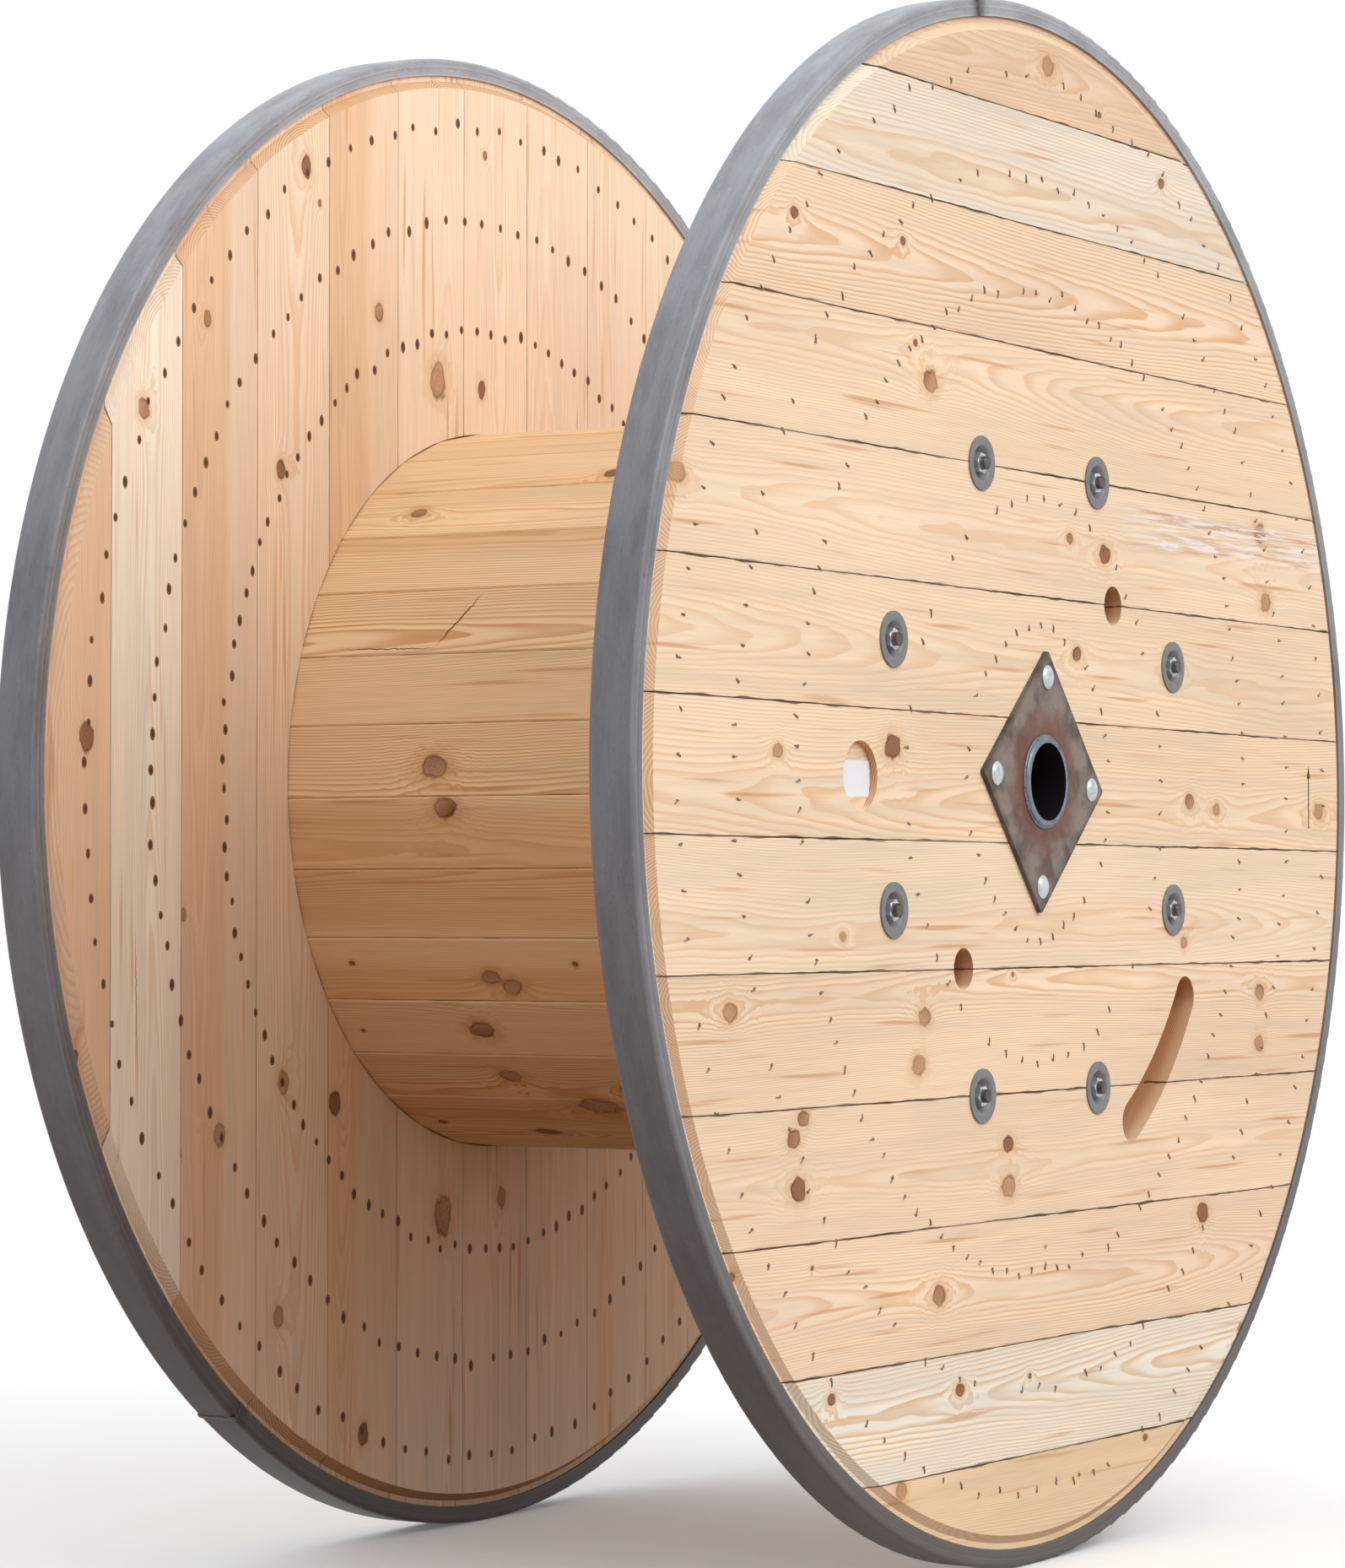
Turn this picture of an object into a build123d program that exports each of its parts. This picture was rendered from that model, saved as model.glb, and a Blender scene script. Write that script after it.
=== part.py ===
"""A wooden cable drum with steel rims, resting on its rims with its axis level.

Millimetres. The origin is the middle of the axle bore, +Y runs along the axis, +Z is up.
The near flange is the one at -Y. Its face has the cable slot and the label pocket.
"""

import math
import os

from build123d import *

# Flanges: two crossed layers of boards, let into the rims, with a bevelled edge
inner_width = 960.0
board_thickness = 43.0
board_gap = 1.0
full_boards = 9
shoulder_board_share = 0.902
edge_board_share = 0.871
bevel_run = 12.5
ledge_width = 9.5

# Rims: a U-shaped steel band round each flange
rim_radius = 1250.0
rim_width = 72.0
rim_steel = 4.5
rim_lip = 29.0
rim_corner_radius = 7.0
rim_inner_setback = 10.0
rim_clearance = 0.3

# Core: flat staves in a round groove in each flange, nailed to a ring at mid-length
core_radius = 610.0
stave_count = 33
stave_start_angle = 2.5
stave_thickness = 48.0
stave_bevel = 2.5
stave_gap = 0.4
groove_depth = 10.0
groove_clearance = 0.5
core_ring_radial_width = 100.0
core_ring_thickness = 46.0
core_ring_clearance = 0.3

# Tie rods through both flanges, with cup washers and nuts
tie_rod_count = 8
tie_rod_wood_wall = 10.0
tie_rod_radius = 10.0
tie_rod_end_height = 12.0
tie_rod_end_chamfer = 1.5
tie_rod_clearance = 1.0
cup_radius = 43.0
cup_rim_width = 13.0
cup_slope_run = 9.5
cup_depth = 12.0
cup_steel = 3.0
cup_bend_radius = 6.0
cup_clearance = 0.5
rod_nut_flats = 30.0
rod_nut_height = 13.0
rod_nut_corner_angle = 30.0
nut_thread_gap = 0.1

# Axle bush: a square plate set on its corner, and a tube through it and the flange
plate_side = 300.0
plate_thickness = 8.0
plate_corner_radius = 4.0
plate_turn = 41.7
bush_radius = 73.0
bush_bore_radius = 62.5
bush_outer_height = 6.5
bush_rim_chamfer = 2.5
bush_clearance = 0.3

# Round-head bolts that hold the plate
plate_bolt_circle_radius = 169.0
plate_bolt_radius = 8.0
plate_bolt_clearance = 0.5
plate_bolt_head_radius = 19.0
plate_bolt_head_height = 7.0
plate_bolt_head_edge = 1.5
plate_bolt_end = 6.0
plate_nut_flats = 24.0
plate_nut_height = 13.0
plate_washer_radius = 25.0
plate_washer_thickness = 4.0

# Holes and hollows in the flanges
drive_hole_radius = 32.5
drive_hole_circle_radius = 400.0
drive_hole_angle = 48.0
slot_width = 70.0
slot_core_wall = 5.0
slot_length = 295.0
slot_seams_above = 2
slot_end_wall = 21.0
pocket_radius = 53.0
pocket_depth = 12.0
pocket_circle_radius = 600.0
pocket_angle = 180.4

overrun = 5.0

# Places that follow from the sizes above
inner_face_y = inner_width / 2
layer_joint_y = inner_face_y + board_thickness
outer_face_y = layer_joint_y + board_thickness
rim_inner_y = inner_face_y + rim_inner_setback
rim_outer_y = rim_inner_y + rim_width
rim_middle_y = (rim_outer_y + rim_inner_y) / 2
disc_radius = rim_radius - rim_steel - rim_clearance
bevel_foot_radius = rim_radius - rim_lip - ledge_width
bevel_top_radius = bevel_foot_radius - bevel_run
outer_ledge_y = rim_outer_y - rim_steel - rim_clearance
inner_ledge_y = rim_inner_y + rim_steel + rim_clearance
board_pitch = 2 * disc_radius / (full_boards + 2 * shoulder_board_share + 2 * edge_board_share)
stave_angle = 360 / stave_count
core_flat_radius = core_radius * math.cos(math.radians(stave_angle / 2))
core_inner_radius = core_flat_radius - stave_thickness
core_ring_outer_radius = core_inner_radius - core_ring_clearance
tie_rod_hole_radius = tie_rod_radius + tie_rod_clearance
tie_rod_circle_radius = core_ring_outer_radius - tie_rod_wood_wall - tie_rod_hole_radius
tie_rod_start_angle = 180 / tie_rod_count
slot_middle_radius = core_radius + slot_core_wall + slot_width / 2
slot_seam_depth = (slot_seams_above - 0.5) * board_pitch
slot_end_depth = slot_seam_depth + slot_end_wall + slot_width / 2
slot_high_angle = -math.degrees(math.asin(slot_end_depth / slot_middle_radius))
slot_sweep = math.degrees(slot_length / slot_middle_radius)
plate_outer_y = outer_face_y + plate_thickness
groove_floor_y = inner_face_y + groove_depth

near_face_plane = Plane.XZ.offset(outer_face_y)
near_plate_plane = Plane.XZ.offset(plate_outer_y)
near_inside_plane = Plane.XZ.offset(inner_face_y)
drilling_plane = Plane.XZ.offset(outer_face_y + overrun)
drilling_depth = outer_face_y - inner_face_y + 2 * overrun


def save(piece, name):
    """Label a finished piece and write it."""
    piece.label = name
    export_step(piece, f"parts/{name}.step")


def save_on_both_flanges(piece, name):
    """Write a piece of the near flange, and the same piece mirrored on the far flange."""
    save(piece, f"near_{name}")
    save(piece.mirror(Plane.XZ), f"far_{name}")


def seam_offsets():
    """Where the gaps between the boards of a layer lie, from one side to the other."""
    seams = [(count + 0.5) * board_pitch for count in range(full_boards // 2 + 1)]
    seams.append(seams[-1] + shoulder_board_share * board_pitch)
    return [-seam for seam in reversed(seams)] + seams


def boards_of(layer, across):
    """The boards of a layer in order across it, each whole or in the pieces a hole leaves."""
    edges = [-disc_radius, *seam_offsets(), disc_radius]
    return [
        Compound(layer.solids().filter_by_position(across, low, high))
        for low, high in zip(edges, edges[1:])
    ]


def flange_layer(outline, boards_level, has_slot, has_pocket):
    """One layer of the near flange: a disc turned from its outline, cut into boards."""
    with BuildPart() as layer:
        with BuildSketch(Plane.XY):
            with BuildLine():
                Polyline(*outline, close=True)
            make_face()
        revolve(axis=Axis.Y)

        # The gaps between the boards, and the holes through the flange
        with BuildSketch(drilling_plane):
            seam_turn = 0 if boards_level else 90
            with Locations(Location((0, 0, 0), (0, 0, seam_turn))):
                with Locations(*[(0, offset) for offset in seam_offsets()]):
                    Rectangle(2 * rim_radius, board_gap)
            Circle(bush_radius + bush_clearance)
            with PolarLocations(plate_bolt_circle_radius, 4, plate_turn + 45):
                Circle(plate_bolt_radius + plate_bolt_clearance)
            with PolarLocations(drive_hole_circle_radius, 2, drive_hole_angle):
                Circle(drive_hole_radius)
            with PolarLocations(tie_rod_circle_radius, tie_rod_count, tie_rod_start_angle):
                Circle(tie_rod_hole_radius)
            if has_slot:
                with BuildLine():
                    slot_middle = CenterArc(
                        (0, 0),
                        slot_middle_radius,
                        slot_high_angle - slot_sweep,
                        slot_sweep,
                    )
                SlotArc(slot_middle, slot_width)
        extrude(amount=-drilling_depth, mode=Mode.SUBTRACT)

        # The hollows that take the cups of the washers, and the pocket for a label
        if boards_level:
            cup_mouth_radius = cup_radius - cup_rim_width + cup_clearance
            with BuildSketch(near_face_plane):
                with PolarLocations(
                    tie_rod_circle_radius, tie_rod_count, tie_rod_start_angle
                ):
                    Circle(cup_mouth_radius)
            extrude(amount=-cup_depth - cup_clearance, mode=Mode.SUBTRACT)
        if has_pocket:
            with BuildSketch(near_face_plane):
                with PolarLocations(pocket_circle_radius, 1, pocket_angle):
                    Circle(pocket_radius)
            extrude(amount=-pocket_depth, mode=Mode.SUBTRACT)
    return layer.part


face_layer_outline = [
    (0, -layer_joint_y),
    (disc_radius, -layer_joint_y),
    (disc_radius, -outer_ledge_y),
    (bevel_foot_radius, -outer_ledge_y),
    (bevel_top_radius, -outer_face_y),
    (0, -outer_face_y),
]
back_layer_outline = [
    (0, -layer_joint_y),
    (disc_radius, -layer_joint_y),
    (disc_radius, -inner_ledge_y),
    (bevel_foot_radius, -inner_ledge_y),
    (bevel_top_radius, -inner_face_y),
    (core_radius + groove_clearance, -inner_face_y),
    (core_radius + groove_clearance, -groove_floor_y),
    (core_inner_radius - groove_clearance, -groove_floor_y),
    (core_inner_radius - groove_clearance, -inner_face_y),
    (0, -inner_face_y),
]

near_face_layer = flange_layer(face_layer_outline, True, True, True)
near_back_layer = flange_layer(back_layer_outline, False, True, False)
far_face_layer = flange_layer(face_layer_outline, True, False, False).mirror(Plane.XZ)
far_back_layer = flange_layer(back_layer_outline, False, False, False).mirror(Plane.XZ)

# Rims
with BuildPart() as rim:
    with BuildSketch(Plane.XY):
        with Locations((rim_radius, -rim_middle_y)):
            Rectangle(rim_lip, rim_width, align=(Align.MAX, Align.CENTER))
            fillet(vertices().group_by(Axis.X)[-1], rim_corner_radius)
            with Locations((-rim_steel, 0)):
                Rectangle(
                    rim_lip,
                    rim_width - 2 * rim_steel,
                    align=(Align.MAX, Align.CENTER),
                    mode=Mode.SUBTRACT,
                )
    revolve(axis=Axis.Y)

# Core: one bevelled stave, repeated round the axis
stave_side_slope = math.tan(math.radians(stave_angle / 2))
stave_edge_radius = core_flat_radius - stave_bevel
stave_outer_half = stave_edge_radius * stave_side_slope - stave_gap / 2
stave_inner_half = core_inner_radius * stave_side_slope - stave_gap / 2
stave_outline = [
    (core_inner_radius, -stave_inner_half),
    (stave_edge_radius, -stave_outer_half),
    (core_flat_radius, -stave_outer_half + stave_bevel),
    (core_flat_radius, stave_outer_half - stave_bevel),
    (stave_edge_radius, stave_outer_half),
    (core_inner_radius, stave_inner_half),
]
with BuildPart() as core_staves:
    with BuildSketch(Plane.XZ.offset(groove_floor_y)):
        with PolarLocations(0, stave_count, stave_start_angle):
            Polygon(*stave_outline, align=None)
    extrude(amount=-2 * groove_floor_y)

# Ring at mid-length that the staves are nailed to
with BuildPart() as core_ring:
    with BuildSketch(Plane.XZ.offset(core_ring_thickness / 2)):
        Circle(core_ring_outer_radius)
        Circle(core_ring_outer_radius - core_ring_radial_width, mode=Mode.SUBTRACT)
        with PolarLocations(tie_rod_circle_radius, tie_rod_count, tie_rod_start_angle):
            Circle(tie_rod_hole_radius, mode=Mode.SUBTRACT)
    extrude(amount=-core_ring_thickness)

# Cup washers of the tie rods, turned from their section
cup_seat_radius = cup_radius - cup_rim_width
cup_base_radius = cup_seat_radius - cup_slope_run
cup_mouth_corner = (cup_seat_radius - cup_steel / 2, cup_steel)
cup_outline = [
    (tie_rod_hole_radius, -cup_depth),
    (cup_base_radius, -cup_depth),
    (cup_seat_radius, 0),
    (cup_radius, 0),
    (cup_radius, cup_steel),
    cup_mouth_corner,
    (cup_base_radius - cup_steel / 2, cup_steel - cup_depth),
    (tie_rod_hole_radius, cup_steel - cup_depth),
]
with BuildPart() as cup_washer:
    with BuildSketch(Plane.XZ):
        with BuildLine():
            Polyline(*cup_outline, close=True)
        make_face()
        fillet(vertices().sort_by_distance(cup_mouth_corner)[0], cup_bend_radius)
    revolve(axis=Axis.Z)

with BuildPart(near_face_plane) as cup_washers:
    with PolarLocations(tie_rod_circle_radius, tie_rod_count, tie_rod_start_angle):
        add(cup_washer.part)

# Nuts in the cups
rod_nut_seat = cup_steel - cup_depth
with BuildPart() as rod_nut:
    with BuildSketch(Plane.XY.offset(rod_nut_seat)):
        RegularPolygon(rod_nut_flats / 2, 6, major_radius=False)
        Circle(tie_rod_radius + nut_thread_gap, mode=Mode.SUBTRACT)
    extrude(amount=rod_nut_height)

    # The corners of the outer face are turned down to a cone
    cone_growth = rod_nut_height / math.tan(math.radians(rod_nut_corner_angle))
    with Locations((0, 0, rod_nut_seat)):
        Cone(
            rod_nut_flats / 2 + cone_growth,
            rod_nut_flats / 2,
            rod_nut_height,
            align=(Align.CENTER, Align.CENTER, Align.MIN),
            mode=Mode.INTERSECT,
        )

with BuildPart(near_face_plane) as rod_nuts:
    with PolarLocations(tie_rod_circle_radius, tie_rod_count, tie_rod_start_angle):
        add(rod_nut.part)

# Axle bush plate and tube
with BuildPart() as bush_plate:
    with BuildSketch(near_face_plane):
        RectangleRounded(
            plate_side, plate_side, plate_corner_radius, rotation=plate_turn
        )
        Circle(bush_radius + bush_clearance, mode=Mode.SUBTRACT)
        with PolarLocations(plate_bolt_circle_radius, 4, plate_turn + 45):
            Circle(plate_bolt_radius + plate_bolt_clearance, mode=Mode.SUBTRACT)
    extrude(amount=plate_thickness)

bush_outer_y = plate_outer_y + bush_outer_height
with BuildPart() as bush_tube:
    with BuildSketch(near_inside_plane):
        Circle(bush_radius)
        Circle(bush_bore_radius, mode=Mode.SUBTRACT)
    extrude(amount=bush_outer_y - inner_face_y)
    rim_edges = bush_tube.edges().filter_by(GeomType.CIRCLE).group_by(Axis.Y)[0]
    chamfer(rim_edges.sort_by(SortBy.RADIUS)[-1], bush_rim_chamfer)

# Round-head bolts of the plate
cap_sphere_radius = (plate_bolt_head_radius**2 + plate_bolt_head_height**2) / (
    2 * plate_bolt_head_height
)
cap_half_angle = math.asin(plate_bolt_head_radius / cap_sphere_radius) / 2
cap_middle = (
    cap_sphere_radius * math.sin(cap_half_angle),
    plate_bolt_head_edge
    + plate_bolt_head_height
    - cap_sphere_radius * (1 - math.cos(cap_half_angle)),
)
plate_bolt_length = plate_outer_y - inner_face_y
plate_bolt_length += plate_washer_thickness + plate_nut_height + plate_bolt_end
with BuildPart() as plate_bolt:
    with BuildSketch(Plane.XZ):
        with BuildLine():
            ThreePointArc(
                (plate_bolt_head_radius, plate_bolt_head_edge),
                cap_middle,
                (0, plate_bolt_head_edge + plate_bolt_head_height),
            )
            Polyline(
                (0, plate_bolt_head_edge + plate_bolt_head_height),
                (0, -plate_bolt_length),
                (plate_bolt_radius, -plate_bolt_length),
                (plate_bolt_radius, 0),
                (plate_bolt_head_radius, 0),
                (plate_bolt_head_radius, plate_bolt_head_edge),
            )
        make_face()
    revolve(axis=Axis.Z)

with BuildPart(near_plate_plane) as plate_bolts:
    with PolarLocations(plate_bolt_circle_radius, 4, plate_turn + 45):
        add(plate_bolt.part)

# Nuts and washers of the bolts, inside the core
with BuildPart() as plate_washers:
    with BuildSketch(near_inside_plane):
        with PolarLocations(plate_bolt_circle_radius, 4, plate_turn + 45):
            Circle(plate_washer_radius)
            Circle(plate_bolt_radius + plate_bolt_clearance, mode=Mode.SUBTRACT)
    extrude(amount=-plate_washer_thickness)

with BuildPart() as plate_nuts:
    with BuildSketch(Plane.XZ.offset(inner_face_y - plate_washer_thickness)):
        with PolarLocations(plate_bolt_circle_radius, 4, plate_turn + 45):
            RegularPolygon(plate_nut_flats / 2, 6, major_radius=False)
            Circle(plate_bolt_radius + nut_thread_gap, mode=Mode.SUBTRACT)
    extrude(amount=-plate_nut_height)


def tie_rod(angle):
    """A rod through both flanges, inside the core."""
    rod_end_y = outer_face_y + tie_rod_end_height
    with BuildPart() as rod:
        with BuildSketch(Plane.XZ.offset(rod_end_y)):
            with PolarLocations(tie_rod_circle_radius, 1, angle):
                Circle(tie_rod_radius)
        extrude(amount=-2 * rod_end_y)
        chamfer(rod.edges().filter_by(GeomType.CIRCLE), tie_rod_end_chamfer)
    return rod.part


os.makedirs("parts", exist_ok=True)

for number, board in enumerate(boards_of(near_face_layer, Axis.Z), 1):
    save(board, f"near_face_board_{number:02d}")
for number, board in enumerate(boards_of(far_back_layer, Axis.X), 1):
    save(board, f"far_inside_board_{number:02d}")
save(near_back_layer, "near_inside_boards")
save(far_face_layer, "far_face_boards")

save(core_staves.part, "core_staves")
save(core_ring.part, "core_ring")
for number in range(tie_rod_count):
    rod_angle = tie_rod_start_angle + number * 360 / tie_rod_count
    save(tie_rod(rod_angle), f"tie_rod_{number + 1}")

save_on_both_flanges(rim.part, "rim")
save_on_both_flanges(cup_washers.part, "cup_washers")
save_on_both_flanges(rod_nuts.part, "rod_nuts")
save_on_both_flanges(bush_plate.part, "bush_plate")
save_on_both_flanges(bush_tube.part, "bush_tube")
save_on_both_flanges(plate_bolts.part, "plate_bolts")
save_on_both_flanges(plate_washers.part, "plate_washers")
save_on_both_flanges(plate_nuts.part, "plate_nuts")
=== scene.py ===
"""The looks of a wooden cable drum: raw pine boards, steel rims, a staved core and its fittings.

Metres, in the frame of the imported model: +Y along the axle bore, +Z up, the near flange at -Y.
"""

from __future__ import annotations

import logging
import math
import random
from dataclasses import dataclass, field
from enum import Enum

import bmesh
import bpy
from mathutils import Matrix, Vector

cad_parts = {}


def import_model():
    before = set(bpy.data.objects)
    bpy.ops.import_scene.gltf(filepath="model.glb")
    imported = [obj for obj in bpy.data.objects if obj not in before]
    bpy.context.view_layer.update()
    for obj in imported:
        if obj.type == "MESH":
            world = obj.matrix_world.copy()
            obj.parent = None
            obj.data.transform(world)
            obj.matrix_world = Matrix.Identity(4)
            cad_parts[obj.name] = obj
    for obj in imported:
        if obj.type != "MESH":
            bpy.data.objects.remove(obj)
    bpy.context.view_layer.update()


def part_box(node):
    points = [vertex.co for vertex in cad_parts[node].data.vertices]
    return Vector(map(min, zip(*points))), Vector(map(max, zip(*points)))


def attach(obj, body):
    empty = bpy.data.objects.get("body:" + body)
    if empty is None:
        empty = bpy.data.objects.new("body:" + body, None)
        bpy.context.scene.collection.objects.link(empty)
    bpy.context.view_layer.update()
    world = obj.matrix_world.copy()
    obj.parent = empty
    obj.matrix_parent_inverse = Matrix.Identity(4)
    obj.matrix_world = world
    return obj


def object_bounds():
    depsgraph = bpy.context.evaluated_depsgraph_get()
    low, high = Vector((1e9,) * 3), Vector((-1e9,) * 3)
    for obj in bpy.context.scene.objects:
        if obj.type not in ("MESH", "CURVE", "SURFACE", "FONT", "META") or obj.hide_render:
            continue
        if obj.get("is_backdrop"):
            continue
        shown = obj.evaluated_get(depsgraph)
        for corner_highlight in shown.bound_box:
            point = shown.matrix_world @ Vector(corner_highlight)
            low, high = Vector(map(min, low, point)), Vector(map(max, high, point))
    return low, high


LOG = logging.getLogger("cable_drum")

Socket = bpy.types.NodeSocket
Value = float | Socket
Colour = tuple[float, float, float]


def srgb(red: int, green: int, blue: int) -> tuple[float, float, float, float]:
    """Turn a colour given as three screen values into the linear colour that a socket takes.

    Args:
        red: Red from 0 to 255.
        green: Green from 0 to 255.
        blue: Blue from 0 to 255.

    Returns:
        The linear red, green, blue and alpha.
    """

    def linear(value: int) -> float:
        share = value / 255
        return share / 12.92 if share <= 0.04045 else ((share + 0.055) / 1.055) ** 2.4

    return (linear(red), linear(green), linear(blue), 1.0)


class Shader:
    """One material under construction, with short calls for the nodes that it is made of."""

    def __init__(self, name: str) -> None:
        """Start a material with a bare Principled surface.

        Args:
            name: The material's name.
        """
        self.material = bpy.data.materials.new(name)
        self.material.use_nodes = True
        self.tree = self.material.node_tree
        self.tree.nodes.clear()
        self.output = self.tree.nodes.new("ShaderNodeOutputMaterial")
        self.surface = self.tree.nodes.new("ShaderNodeBsdfPrincipled")
        self.tree.links.new(self.surface.outputs["BSDF"], self.output.inputs["Surface"])

    def feed(self, socket: Socket, value: Value | tuple) -> None:
        """Link a socket to another node's output, or set its own value.

        Args:
            socket: The input to feed.
            value: An output socket, a number or a tuple.
        """
        if isinstance(value, bpy.types.NodeSocket):
            self.tree.links.new(value, socket)
        else:
            socket.default_value = value

    def math(self, operation: str, first: Value, second: Value = 0.0, clamp: bool = False) -> Socket:
        """Add a Math node.

        Args:
            operation: The node's operation, such as MULTIPLY.
            first: Its first value.
            second: Its second value.
            clamp: Whether the result is kept from 0 to 1.

        Returns:
            The node's output.
        """
        node = self.tree.nodes.new("ShaderNodeMath")
        node.operation = operation
        node.use_clamp = clamp
        self.feed(node.inputs[0], first)
        self.feed(node.inputs[1], second)
        return node.outputs[0]

    def add(self, first: Value, second: Value) -> Socket:
        """Add two values."""
        return self.math("ADD", first, second)

    def minus(self, first: Value, second: Value) -> Socket:
        """Take the second value from the first."""
        return self.math("SUBTRACT", first, second)

    def times(self, first: Value, second: Value) -> Socket:
        """Multiply two values."""
        return self.math("MULTIPLY", first, second)

    def length(self, first: Value, second: Value) -> Socket:
        """Give the length of a step of two values at right angles."""
        return self.math("SQRT", self.add(self.times(first, first), self.times(second, second)))

    def smooth(self, value: Value, low: float, high: float) -> Socket:
        """Rise smoothly from 0 to 1 between two levels, or fall where low is above high.

        Args:
            value: The value that rises.
            low: Where the result is 0.
            high: Where the result is 1.

        Returns:
            The eased share.
        """
        node = self.tree.nodes.new("ShaderNodeMapRange")
        node.interpolation_type = "SMOOTHSTEP"
        self.feed(node.inputs["Value"], value)
        falls = low > high
        node.inputs["From Min"].default_value = high if falls else low
        node.inputs["From Max"].default_value = low if falls else high
        node.inputs["To Min"].default_value = 1.0 if falls else 0.0
        node.inputs["To Max"].default_value = 0.0 if falls else 1.0
        return node.outputs["Result"]

    def ridge(self, value: Value, centre: float, half_width: float) -> Socket:
        """Rise to 1 where a value meets a centre, within half a width on both sides."""
        return self.smooth(self.math("ABSOLUTE", self.minus(value, centre)), half_width, 0.0)

    def join(self, x: Value, y: Value, z: Value) -> Socket:
        """Make a vector of three values."""
        node = self.tree.nodes.new("ShaderNodeCombineXYZ")
        for socket, value in zip(node.inputs, (x, y, z)):
            self.feed(socket, value)
        return node.outputs["Vector"]

    def split(self, vector: Socket) -> tuple[Socket, Socket, Socket]:
        """Split a vector into its three values."""
        node = self.tree.nodes.new("ShaderNodeSeparateXYZ")
        self.feed(node.inputs["Vector"], vector)
        return node.outputs["X"], node.outputs["Y"], node.outputs["Z"]

    def place(self) -> tuple[Socket, Socket, Socket]:
        """Read where the shaded point lies in the drum's frame.

        Returns:
            Its X, Y and Z in metres.
        """
        node = self.tree.nodes.new("ShaderNodeTexCoord")
        return self.split(node.outputs["Object"])

    def noise(self, vector: Socket, detail: float = 2.0, roughness: float = 0.5) -> Socket:
        """Read soft noise, from 0 to 1 about a half.

        Args:
            vector: Where it is read, already scaled.
            detail: How many finer layers it has.
            roughness: How strong the finer layers are.

        Returns:
            The noise.
        """
        node = self.tree.nodes.new("ShaderNodeTexNoise")
        self.feed(node.inputs["Vector"], vector)
        node.inputs["Scale"].default_value = 1.0
        node.inputs["Detail"].default_value = detail
        node.inputs["Roughness"].default_value = roughness
        return node.outputs["Fac"]

    def stretch(self, vector: Socket, scale: float) -> Socket:
        """Scale a vector evenly."""
        node = self.tree.nodes.new("ShaderNodeVectorMath")
        node.operation = "SCALE"
        self.feed(node.inputs[0], vector)
        node.inputs["Scale"].default_value = scale
        return node.outputs["Vector"]

    def chance(self, seed: Value, number: float) -> Socket:
        """Draw a random number from 0 to 1 for a seed.

        Args:
            seed: The seed, which may differ from board to board.
            number: Which draw this is.

        Returns:
            The random number.
        """
        node = self.tree.nodes.new("ShaderNodeTexWhiteNoise")
        node.noise_dimensions = "1D"
        self.feed(node.inputs["W"], self.add(self.times(seed, 7.31), number * 3.17 + 0.5))
        return node.outputs["Value"]

    def blend(self, share: Value, first: Value | tuple, second: Value | tuple, mode: str = "MIX") -> Socket:
        """Mix two colours.

        Args:
            share: How much of the second shows.
            first: The first colour.
            second: The second colour.
            mode: The node's blend type.

        Returns:
            The mixed colour.
        """
        node = self.tree.nodes.new("ShaderNodeMix")
        node.data_type = "RGBA"
        node.blend_type = mode
        self.feed(node.inputs["Factor"], share)
        self.feed(node.inputs["A"], first)
        self.feed(node.inputs["B"], second)
        return node.outputs["Result"]

    def bump(self, height: Socket, distance: float, strength: float = 1.0) -> Socket:
        """Turn a height into a shading normal.

        Args:
            height: The height from 0 to 1.
            distance: How far a height of 1 stands out, in metres.
            strength: How much of it shows.

        Returns:
            The normal.
        """
        node = self.tree.nodes.new("ShaderNodeBump")
        node.inputs["Strength"].default_value = strength
        node.inputs["Distance"].default_value = distance
        self.feed(node.inputs["Height"], height)
        return node.outputs["Normal"]


def tint(base: tuple, red: float, green: float, blue: float) -> tuple[float, float, float, float]:
    """Multiply a colour's red, green and blue."""
    return (base[0] * red, base[1] * green, base[2] * blue, 1.0)


def polar(radius: float, angle: float, y: float) -> Vector:
    """Give a point by its distance from the axis, its angle from +X towards +Z and its Y."""
    return Vector((radius * math.cos(angle), y, radius * math.sin(angle)))


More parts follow.
